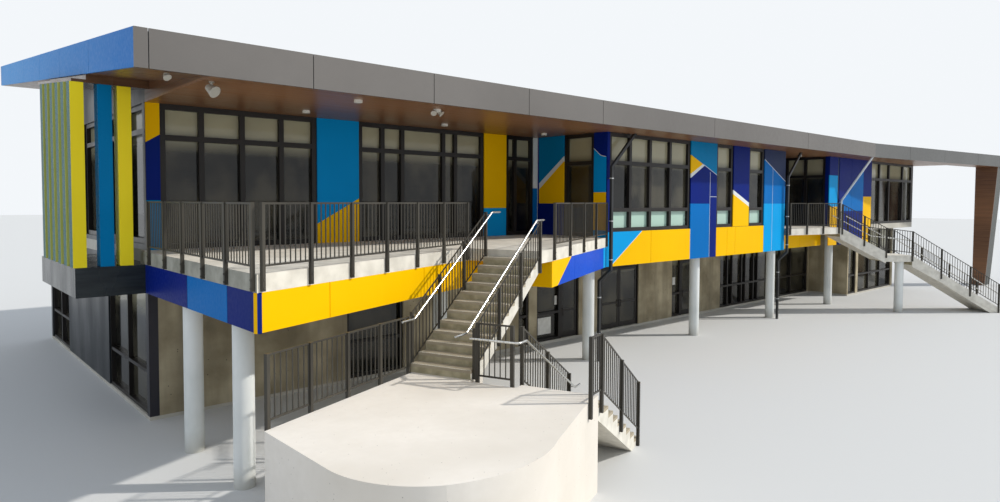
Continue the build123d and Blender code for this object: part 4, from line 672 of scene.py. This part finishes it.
face_sheet = 6
for name, finish, fins, part in (
        ("fin_face_first", fin_yellow, (0,), "face"),
        ("fin_faces_behind_painted_shade", fin_face_painted_shade, range(1, 6), "face"),
        ("fin_blades", fin_teal, range(6), "blade")):
    shape = bmesh.new()
    for i in fins:
        y = fin_first + i * fin_pitch
        if part == "face":
            add_fin(shape, (-735, -613), (y, y + face_sheet))
        else:
            add_fin(shape, (-735, -613), (y + face_sheet, y + fin_depth))
    slot = "cladding_teal" if part == "blade" else "cladding_yellow"
    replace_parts(make_piece(name, shape, finish, bevel=0.0015), "bay_fins")
for name, finish, x, slot in (("bay_post_blue", post_blue, (-490, -360), "cladding_blue"),
                              ("bay_post_yellow", fin_yellow, (-310, -180), "cladding_yellow")):
    shape = bmesh.new()
    add_fin(shape, x, (fin_first, fin_first + fin_depth))
    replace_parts(make_piece(name, shape, finish, bevel=0.003), "bay_fins")

# Roof: long-run ribbed sheet on purlins, with a folded metal fascia of composite panels that is
# grey-brown along the front, painted darker past the kink as painted shade, and blue on the ends,
# paling towards the back as painted sky reflection.
roof_sheet = satin_sheet("roof_sheet", linear(128, 131, 133), linear(146, 148, 148))
dress(roof_sheet, "roof_slab", "canopy")


def composite(name, base, shade, roughness):
    """Composite fascia panel: metal-flake coating with a soft change of tone along it."""
    finish = Finish(name, metallic=0.2)
    soft = finish.clouds((0.5, 3.0), 0.35, 0.7)
    flake = finish.clouds((160.0, 2.0), 0.4, 0.7, 0.0, 0.1)
    tone = finish.blend(soft, base, shade)
    finish.colour(finish.blend(flake, tone, between(base, shade, 1.8)))
    finish.roughness(finish.clouds((18.0, 4.0), 0.3, 0.7, *roughness))
    finish.relief(finish.noise(1.2, 2.0), 0.003, 0.15)
    return finish


fascia = composite("front_fascia", linear(108, 104, 100), linear(99, 95, 91), (0.42, 0.54))
# The canopy's fascia is the front fascia painted darker, as painted shade past the kink.
fascia_painted_shade = composite("canopy_fascia", linear(102, 102, 100), linear(92, 92, 90), (0.42, 0.54))
pillar_face = composite("pillar_face", linear(66, 68, 64), linear(76, 78, 72), (0.42, 0.54))
end_fascia = coat("end_fascia", linear(62, 140, 208), linear(70, 148, 214))
# The end fascias' blue is painted paler along y towards the back, as painted sky reflection.
paler = end_fascia.span(end_fascia.axis("Y"), -2.0, 5.0)
end_fascia.colour(end_fascia.blend(paler, linear(4, 110, 186), linear(62, 150, 218)))
dress(fascia, "long_fascias")
dress(fascia_painted_shade, "canopy_fascia")
dress(end_fascia, "end_fascias")


def new_tree(name, inputs):
    """Geometry Nodes tree with named inputs of given kinds, and its input and output nodes."""
    tree = bpy.data.node_groups.new(name, "GeometryNodeTree")
    face = tree.interface
    face.new_socket(name="Geometry", in_out="INPUT", socket_type="NodeSocketGeometry")
    for label, kind in inputs:
        face.new_socket(name=label, in_out="INPUT", socket_type="NodeSocket" + kind)
    face.new_socket(name="Geometry", in_out="OUTPUT", socket_type="NodeSocketGeometry")
    return tree, tree.nodes.new("NodeGroupInput"), tree.nodes.new("NodeGroupOutput")


def close_tree(tree, spread, result, finish):
    """End of a tree: its instances are made real and given their material."""
    real = tree.nodes.new("GeometryNodeRealizeInstances")
    tree.links.new(spread.outputs["Instances"], real.inputs["Geometry"])
    painted = tree.nodes.new("GeometryNodeSetMaterial")
    painted.inputs["Material"].default_value = finish.material
    tree.links.new(real.outputs["Geometry"], painted.inputs["Geometry"])
    tree.links.new(painted.outputs["Geometry"], result.inputs["Geometry"])


def rod_tree(name, finish):
    """Geometry Nodes tree: a row of straight rods of rounded rectangular section. The rods
    start at Start, each Step further on, run along Along and have the section Width x Height."""
    tree, given, result = new_tree(name, (
        ("Count", "Int"), ("Start", "Vector"), ("Step", "Vector"), ("Along", "Vector"),
        ("Width", "Float"), ("Height", "Float"), ("Rounding", "Float")))
    add = tree.nodes.new
    join = tree.links.new
    row = add("GeometryNodeMeshLine")
    row.mode = "OFFSET"
    join(given.outputs["Count"], row.inputs["Count"])
    join(given.outputs["Start"], row.inputs["Start Location"])
    join(given.outputs["Step"], row.inputs["Offset"])
    rod_line = add("GeometryNodeCurvePrimitiveLine")
    join(given.outputs["Along"], rod_line.inputs["End"])
    section = add("GeometryNodeCurvePrimitiveQuadrilateral")
    join(given.outputs["Width"], section.inputs["Width"])
    join(given.outputs["Height"], section.inputs["Height"])
    rounded = add("GeometryNodeFilletCurve")
    rounded.mode = "POLY"
    rounded.inputs["Count"].default_value = 1
    join(section.outputs["Curve"], rounded.inputs["Curve"])
    join(given.outputs["Rounding"], rounded.inputs["Radius"])
    rod = add("GeometryNodeCurveToMesh")
    rod.inputs["Fill Caps"].default_value = True
    join(rod_line.outputs["Curve"], rod.inputs["Curve"])
    join(rounded.outputs["Curve"], rod.inputs["Profile Curve"])
    spread = add("GeometryNodeInstanceOnPoints")
    join(row.outputs["Mesh"], spread.inputs["Points"])
    join(rod.outputs["Mesh"], spread.inputs["Instance"])
    close_tree(tree, spread, result, finish)
    return tree


def grown(tree, inputs, base=None):
    """Plain mesh that a Geometry Nodes tree makes from named inputs and a base mesh."""
    carrier = bpy.data.objects.new("carrier", base or bpy.data.meshes.new("carrier"))
    scene.collection.objects.link(carrier)
    modifier = carrier.modifiers.new("tree", "NODES")
    modifier.node_group = tree
    for item in tree.interface.items_tree:
        if item.in_out == "INPUT" and item.name in inputs:
            modifier[item.identifier] = inputs[item.name]
    bpy.context.view_layer.update()
    seen_by = bpy.context.evaluated_depsgraph_get()
    mesh = bpy.data.meshes.new_from_object(carrier.evaluated_get(seen_by))
    bpy.data.objects.remove(carrier)
    return mesh


def joined_piece(name, meshes, finish, body="building"):
    """One piece from several plain meshes."""
    shape = bmesh.new()
    for mesh in meshes:
        shape.from_mesh(mesh)
        bpy.data.meshes.remove(mesh)
    bmesh.ops.remove_doubles(shape, verts=shape.verts, dist=0.00001)
    return make_piece(name, shape, finish, body)


# Standing seams of the roof sheet, one rib at each lap, run up the slope from eave to eave.
seam_tree = rod_tree("standing_seams", roof_sheet)
seam_count = 51
seam_pitch = 0.405
seam_height = 0.024
roof_low, roof_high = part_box("roof_slab")
seam_run = roof_high.y - roof_low.y - 0.04
seam_rise = seam_run * roof_slope
seam_low_z = roof_high.z - (roof_high.y - roof_low.y) * roof_slope
seams = grown(seam_tree, {
    "Count": seam_count, "Start": (roof_low.x + 0.26, roof_low.y + 0.02, seam_low_z + 0.006),
    "Step": (seam_pitch, 0.0, 0.0), "Along": (0.0, seam_run, seam_rise),
    "Width": 0.018, "Height": seam_height, "Rounding": 0.004})
joined_piece("roof_seams", [seams], roof_sheet)


# Soffits, the gusset over the end wall and the pillar's left face: timber-look boards with a
# satin varnish, laid along the building with tight joints and small fixing heads.
def timber_boards(name, pale, dark, board, along, across):
    """Boards running along one axis, each in its own tone, with grain and a fine joint."""
    finish = Finish(name)
    stretch = tuple(0.05 if letter == along else 1.0 for letter in "XYZ")
    grain = finish.noise(34.0, 6.0, stretch)
    place = finish.axis(across)
    row = finish.sum_of(finish.sum_of(place, 1.0 / board, "MULTIPLY"), 0.0, "FLOOR")
    tone_of_row = finish.span(finish.sum_of(finish.sum_of(row, 12.9898, "MULTIPLY"), 0.0, "SINE"),
                              -1.0, 1.0, 0.0, 0.6)
    joint = finish.span(finish.sum_of(place, board / 2, "PINGPONG"), 0.0, 0.004)
    grain_share = finish.span(grain, 0.3, 0.7, 0.0, 0.5)
    tone = finish.blend(finish.sum_of(tone_of_row, grain_share), dark, pale)
    finish.colour(finish.blend(joint, between((0, 0, 0, 1), dark, 0.3), tone))
    finish.roughness(finish.span(grain, 0.3, 0.7, 0.28, 0.42))
    finish.relief(finish.sum_of(finish.sum_of(grain, 0.2, "MULTIPLY"), joint), 0.0015, 0.4)
    return finish


soffit_boards = timber_boards("soffit_boards", linear(148, 104, 70), linear(112, 76, 50),
                              0.14, "X", "Y")
gusset_boards = timber_boards("gusset_boards", linear(120, 84, 60), linear(88, 62, 46),
                              0.12, "Y", "Z")
pillar_timber = timber_boards("pillar_boards", linear(128, 88, 58), linear(92, 62, 42),
                              0.12, "Y", "Z")
dress(soffit_boards, "front_soffit")
dress(gusset_boards, "end_soffit", "eave_gusset")
dress(pillar_timber, "pillar_boards")
dress(pillar_face, "pillar")

# Stairs: precast flights painted off-white on their sides, with darker broomed treads. Each
# tread carries a strip of paler gritted nosing, and the risers are left rough.
far_turn = math.radians(-40.0)
flight_paint = cast_concrete("flight_concrete", linear(226, 221, 208), linear(198, 193, 180), 14.0)
tread_finish = cast_concrete("tread_concrete", linear(192, 180, 156), linear(150, 139, 118), 20.0)
balcony_axis = (math.cos(balcony_turn), math.sin(balcony_turn), 0)
far_axis = (math.cos(far_turn), math.sin(far_turn), 0)
on_riser = flight_paint.sum_of(flight_paint.facing(balcony_axis),
                               flight_paint.facing(far_axis), "MAXIMUM")
on_riser = flight_paint.span(on_riser, 0.9, 0.97)
rough = flight_paint.clouds((9.0, 6.0), 0.35, 0.65)
riser_tone = flight_paint.blend(rough, linear(148, 140, 112), linear(182, 172, 142))
side_tone = flight_paint.blend(rough, linear(226, 221, 208), linear(206, 201, 188))
flight_paint.colour(flight_paint.blend(on_riser, side_tone, riser_tone))
dress(flight_paint, "stair_waists", "far_stair_landing")
dress(tread_finish, "stair_treads")


def clouded(name, noise, soft, tones, roughness, relief, metallic=0.0):
    """Finish with one cloudy pattern behind its two tones, its roughness and its relief."""
    finish = Finish(name, metallic)
    clouds = finish.noise(*noise)
    finish.colour(finish.blend(finish.span(clouds, 0.5 - soft, 0.5 + soft), *tones))
    finish.roughness(finish.span(clouds, 0.3, 0.7, *roughness))
    finish.relief(clouds, *relief)
    return finish


nosing = clouded("gritted_nosing", (160.0, 3.0), 0.1,
                 (linear(150, 142, 124), linear(214, 208, 192)), (0.7, 0.95), (0.001, 0.8))
nosing_tree = rod_tree("nosing_strips", nosing)
nosing_width = 22
nosing_height = 3
far_top = (13525, -1980)
main_landing_z = 830
main_going = 134
main_rise = 1070 / 13
far_landing_z = 1283
far_landing_u = 1050
far_run_end = 1645
far_upper_going = 150
far_upper_rise = (deck_z - far_landing_z) / 8
far_lower_going = 146
far_lower_rise = far_landing_z / 15


def far(u, n):
    """Point of the plan, u down the far stair and n in front of its near side."""
    return (far_top[0] + u * math.cos(far_turn) + n * math.sin(far_turn),
            far_top[1] + u * math.sin(far_turn) - n * math.cos(far_turn))


def nosings(top, level_z, count, rise, going, width, turn, across_turn):
    """Strips along the front edges of a flight's treads, from the top one down. The flight
    goes down along turn from the point top, and its treads run along across_turn."""
    down = Vector((math.cos(turn), math.sin(turn), 0)) * going
    edge = Vector((math.cos(across_turn), math.sin(across_turn), 0))
    inset = 12
    start = Vector((top[0], top[1], level_z - rise)) + down * ((going - inset) / going) + edge * 6
    strips = grown(nosing_tree, {
        "Count": count, "Start": start * 0.001, "Step": (down + Vector((0, 0, -rise))) * 0.001,
        "Along": edge * (width - 12) * 0.001, "Width": nosing_width * 0.001,
        "Height": nosing_height * 0.001, "Rounding": 0.0008})
    return strips


away = balcony_turn - math.pi / 2
strips = [
    nosings(balcony(3249, 270), deck_z, 12, main_rise, main_going, 650,
            balcony_turn + math.pi, away),
    nosings(balcony(1700, 1400), main_landing_z, 9, 83, 144, 708, balcony_turn, away),
    nosings(far(0, 0), deck_z, 7, far_upper_rise, far_upper_going, 650,
            far_turn, far_turn + math.pi / 2),
    nosings(far(far_run_end, 0), far_landing_z, 14, far_lower_rise, far_lower_going, 650,
            far_turn, far_turn + math.pi / 2),
]
joined_piece("nosing_strips", strips, nosing)

# Podium and decks: pale broomed concrete with faint trowel clouds and off-white edges. The decks'
# ends that face along x are painted a darker grey, as painted shade.
podium_finish = cast_concrete("podium_concrete", linear(232, 225, 214), linear(214, 206, 193), 16.0)
dress(podium_finish, "podium")
deck_finish = cast_concrete("deck_concrete", linear(226, 220, 206), linear(204, 198, 184), 14.0)
deck_clouds = deck_finish.clouds((6.0, 6.0), 0.35, 0.65)
deck_tone = deck_finish.blend(deck_clouds, linear(204, 198, 184), linear(226, 220, 206))
# The ends facing along x take a darker grey, as painted shade.
painted_shade_edge = deck_finish.blend(deck_clouds, linear(138, 137, 126), linear(168, 166, 154))
painted_shade_on_end = deck_finish.span(deck_finish.facing((1.0, 0.0, 0.0)), 0.96, 0.99)
deck_finish.colour(deck_finish.blend(painted_shade_on_end, deck_tone, painted_shade_edge))
dress(deck_finish, "balcony_slabs")

# Guards: flat steel bars welded between rails and posts, coated dark bronze, bolted through
# their posts' feet to the slab edges. The handrails are brushed stainless tube.
guard_coat = satin_sheet("guard_coating", linear(58, 55, 49), linear(77, 73, 64), 0.0, (0.36, 0.55))
dress(guard_coat, "balcony_guard_posts", "balcony_guard_panels", "stair_guard_posts",
      "stair_guard_panels")
steel = clouded("brushed_stainless", (90.0, 4.0, (1.0, 1.0, 0.2)), 0.15,
                (linear(222, 222, 218), linear(186, 186, 182)), (0.16, 0.32), (0.0004, 0.2), 1.0)
dress(steel, "handrails")


# Handrails of the far stair: steel tubes inside both guards, level over the landing, carried by
# short pegs from the guard posts.
far_foot = far_run_end + 14 * far_lower_going
far_rail_above = 330
far_rail_radius = 11


def far_rail_level(u):
    """Height of the far stair's handrails, which follow the nosings and the landing."""
    if u < far_run_end:
        nosing_z = max(deck_z - u * far_upper_rise / far_upper_going, far_landing_z)
    else:
        nosing_z = far_landing_z - (u - far_run_end) * far_lower_rise / far_lower_going
    return nosing_z + far_rail_above


def ring(shape, centre, across, other, radius, sides):
    """Round row of corners in metres, about a centre in millimetres."""
    angles = [2 * math.pi * i / sides for i in range(sides)]
    arms = [across * math.cos(angle) + other * math.sin(angle) for angle in angles]
    return [shape.verts.new((Vector(centre) + arm * radius) * 0.001) for arm in arms]


def skin(shape, rings):
    """Closed surface over a row of rings."""
    for low, high in zip(rings, rings[1:]):
        for i in range(len(low)):
            j = (i + 1) % len(low)
            shape.faces.new((low[i], low[j], high[j], high[i]))
    shape.faces.new(rings[0][::-1])
    shape.faces.new(rings[-1])


def swept(shape, points, radius, sides=10):
    """Closed round bar in millimetres along a bent line of points."""
    rings = []
    for i, point in enumerate(points):
        before = Vector(points[max(i - 1, 0)])
        after = Vector(points[min(i + 1, len(points) - 1)])
        along = (after - before).normalized()
        across = along.cross(Vector((0, 0, 1))).normalized()
        rings.append(ring(shape, point, across, across.cross(along), radius, sides))
    skin(shape, rings)


far_rails = bmesh.new()
far_post_places = (525, far_landing_u, far_run_end, 2311, 2977, 3644)
far_rail_places = (150, far_landing_u, far_run_end, far_foot - 60, far_foot + 60)
peg_radius = 5
for n, guard_n in ((-45, 0), (-605, -650)):
    rail_points = [(*far(u, n), far_rail_level(u)) for u in far_rail_places]
    swept(far_rails, rail_points, far_rail_radius)
    for u in far_post_places:
        z = far_rail_level(u)
        swept(far_rails, [(*far(u, n), z), (*far(u, guard_n), z)], peg_radius, 6)
make_piece("far_handrails", far_rails, steel)

# Strings of the far stair: flat concrete-coloured plates along the flights' near side, flush
# with the nosings on top, that hide the ends of the treads.
string_shape = bmesh.new()
near_side = wall_line(far(0, 0), far(1, 0))
string_drop = 250
string_above = 6
string_out = 9
for low, high, z_low, z_high, foot_cut in (
        (0, far_landing_u, deck_z, 1360, 0),
        (far_run_end, far_foot - 20, far_landing_z, 99, 60)):
    foot_z = max(z_high - string_drop, 4)
    outline = [(low, z_low + string_above), (low, z_low - string_drop),
               (high - foot_cut, foot_z), (high, foot_z), (high, z_high + string_above)]
    add_sheet(string_shape, near_side, outline, string_out, 8)
make_piece("far_strings", string_shape, flight_paint, bevel=0.0015)


def bolt_tree(name, finish):
    """Geometry Nodes tree: hexagonal heads on the points of a mesh, each standing along the
    point's own aim, of the given Radius and Depth."""
    tree, given, result = new_tree(name, (("Radius", "Float"), ("Depth", "Float")))
    add = tree.nodes.new
    join = tree.links.new
    head = add("GeometryNodeMeshCylinder")
    head.inputs["Vertices"].default_value = 6
    join(given.outputs["Radius"], head.inputs["Radius"])
    join(given.outputs["Depth"], head.inputs["Depth"])
    aim = add("GeometryNodeInputNamedAttribute")
    aim.data_type = "FLOAT_VECTOR"
    aim.inputs["Name"].default_value = "aim"
    turn = add("FunctionNodeAlignRotationToVector")
    join(aim.outputs["Attribute"], turn.inputs["Vector"])
    spread = add("GeometryNodeInstanceOnPoints")
    join(given.outputs["Geometry"], spread.inputs["Points"])
    join(head.outputs["Mesh"], spread.inputs["Instance"])
    join(turn.outputs["Rotation"], spread.inputs["Rotation"])
    close_tree(tree, spread, result, finish)
    return tree


def bolts(tree, places, radius, depth):
    """Plain mesh of the heads at places, each a point in millimetres and its direction."""
    mesh = bpy.data.meshes.new("places")
    mesh.from_pydata([tuple(Vector(point) * 0.001) for point, _ in places], [], [])
    mesh.attributes.new("aim", "FLOAT_VECTOR", "POINT")
    for i, (_, aim) in enumerate(places):
        mesh.attributes["aim"].data[i].vector = aim
    return grown(tree, {"Radius": radius, "Depth": depth}, mesh)


def post_bolts(line, stations, z_at, out):
    """Two bolt places at the foot of each guard post along a wall line."""
    outward = tuple(line[2])
    places = []
    for s in stations:
        for rise in (22, 88):
            places.append((on_wall(line, s, z_at(s) + rise, out) * 1000, outward))
    return places


guard_steel = satin_sheet("bolt_coating", linear(70, 68, 62), linear(96, 94, 86))
guard_bolt_tree = bolt_tree("guard_bolts", guard_steel)


def stations(low, high, bays):
    """Places of the posts of one guard line."""
    return [low + (high - low) * i / bays for i in range(bays + 1)]


post_foot = 1770
side_guard = wall_line((-70, 0), balcony_corner)
stair_down = wall_line(balcony(3249, 270), balcony(1641, 270))
stair_up = wall_line(balcony(1641, 920), balcony(3249, 920))
flight_slope = main_rise / main_going
bolt_places = post_bolts(side_guard, stations(385, 3123, 5), lambda s: post_foot, 32)
bolt_places += post_bolts(band_front, stations(45, 3204, 6), lambda s: post_foot, 32)
bolt_places += post_bolts(band_right, stations(45, 2664, 4), lambda s: post_foot, 32)
bolt_places += post_bolts(stair_up, stations(45, 1563, 3),
                          lambda s: max(main_landing_z + s * flight_slope - 130, 835), 32)
bolt_places += post_bolts(stair_down, stations(45, 1563, 3),
                          lambda s: max(1817 - s * flight_slope - 130, 835), 32)
bolt_heads = bolts(guard_bolt_tree, bolt_places, 0.008, 0.008)
joined_piece("guard_bolts", [bolt_heads], guard_steel)

# Rainwater pipes: square black pipes in front of the main block and a white round one at the
# far block, held by pale metal clips that wrap the pipe and are screwed to the wall.
pipe_coat = satin_sheet("pipe_coating", linear(44, 45, 46), linear(62, 63, 64), 0.0, (0.25, 0.4))
dress(pipe_coat, "downpipes")
white_pipe = satin_sheet("white_pipe_coating", linear(226, 230, 232), linear(206, 211, 214))
dress(white_pipe, "white_pipe")
clip_metal = satin_sheet("clip_metal", linear(170, 172, 172), linear(198, 200, 200))
clip_shape = bmesh.new()
clip_height = 16
clip_wall = 3
pipe_half = 21
for x, y, heights in (
        (6074, -1569, (1560, 2150, 2800)), (11876, -1569, (1560, 2150, 2800)),
        (5964, -1439, (420, 980)), (11766, -1439, (420, 980)), (406, -21, (520, 1240))):
    for z in heights:
        reach = pipe_half + clip_wall
        top = z + clip_height
        around = wall_line((x - reach, y - pipe_half), (x + reach, y - pipe_half))
        add_sheet(clip_shape, around, rectangle(0, 2 * reach, z, top), clip_wall, clip_wall)
        for side in (x - reach, x + pipe_half):
            cheek = wall_line((side, y - pipe_half), (side + clip_wall, y - pipe_half))
            add_sheet(clip_shape, cheek, rectangle(0, clip_wall, z, top), 0, 2 * pipe_half)
make_piece("pipe_clips", clip_shape, clip_metal)

# Lamps: opal drum lights on the soffit, a floodlight on a bracket at the end, and twin heads
# over the stair, all of pale plastic and cast metal.
opal = clouded("opal_plastic", (30.0, 3.0), 0.2, (linear(232, 230, 220), linear(216, 214, 204)),
               (0.28, 0.42), (0.0005, 0.2))
dress(opal, "soffit_lights")
lamp_metal = satin_sheet("lamp_metal", linear(176, 172, 160), linear(198, 194, 184))


def turned_shape(shape, centre, axis, profile, sides=20):
    """Closed solid of revolution in millimetres: profile gives distances along the axis and
    radii, from its first pole to its last."""
    along = Vector(axis).normalized()
    across = along.orthogonal().normalized()
    other = along.cross(across)
    skin(shape, [ring(shape, Vector(centre) + along * distance, across, other, radius, sides)
                 for distance, radius in profile])


twin_head = ((-24, 14), (-18, 24), (14, 34), (22, 36), (24, 30))
down = (0, 0, -1)
lamp_shape = bmesh.new()
for centre, axis, profile in (
        ((95, -1790, soffit_z), down, ((0, 26), (6, 26), (8, 12), (46, 12))),
        ((95, -1790, 3452), (0.35, -0.75, -0.55),
         ((-52, 22), (-46, 34), (10, 46), (42, 56), (48, 58), (52, 50))),
        ((2640, -1700, 3484), (-0.45, -0.6, -0.65), twin_head),
        ((2740, -1700, 3484), (0.45, -0.6, -0.65), twin_head),
        ((2690, -1700, soffit_z), down, ((0, 24), (14, 24), (20, 10), (36, 10))),
        ((-332, -1957, 3498), (0.2, -0.6, -0.7),
         ((-14, 18), (-8, 26), (10, 32), (22, 34), (24, 28))),
        ((-332, -1957, 3522), down, ((0, 22), (8, 22), (12, 9), (24, 9))),
        ((13336, -1138, soffit_z), down, ((0, 46), (20, 44), (30, 34), (34, 14)))):
    turned_shape(lamp_shape, centre, axis, profile)
turned_shape(lamp_shape, (2640, -1700, 3486), (1, 0, 0), ((0, 7), (100, 7)), 10)
make_piece("floodlights", lamp_shape, lamp_metal)

# Notice boards: bare white sheets behind the glass beside the doors, taped at the corners, and
# two small bare plates at eye level.
paper = clouded("bare_board", (12.0, 4.0), 0.2, (linear(222, 220, 212), linear(202, 199, 190)),
                (0.5, 0.7), (0.0008, 0.2))
board_shape = bmesh.new()
for s, z in (((6120, 6470), (150, 440)), ((6560, 6620), (640, 800)), ((10160, 10260), (700, 860))):
    add_sheet(board_shape, front_line, rectangle(s[0], s[1], z[0], z[1]), -64, 3)
make_piece("bare_boards", board_shape, paper, bevel=0.001)
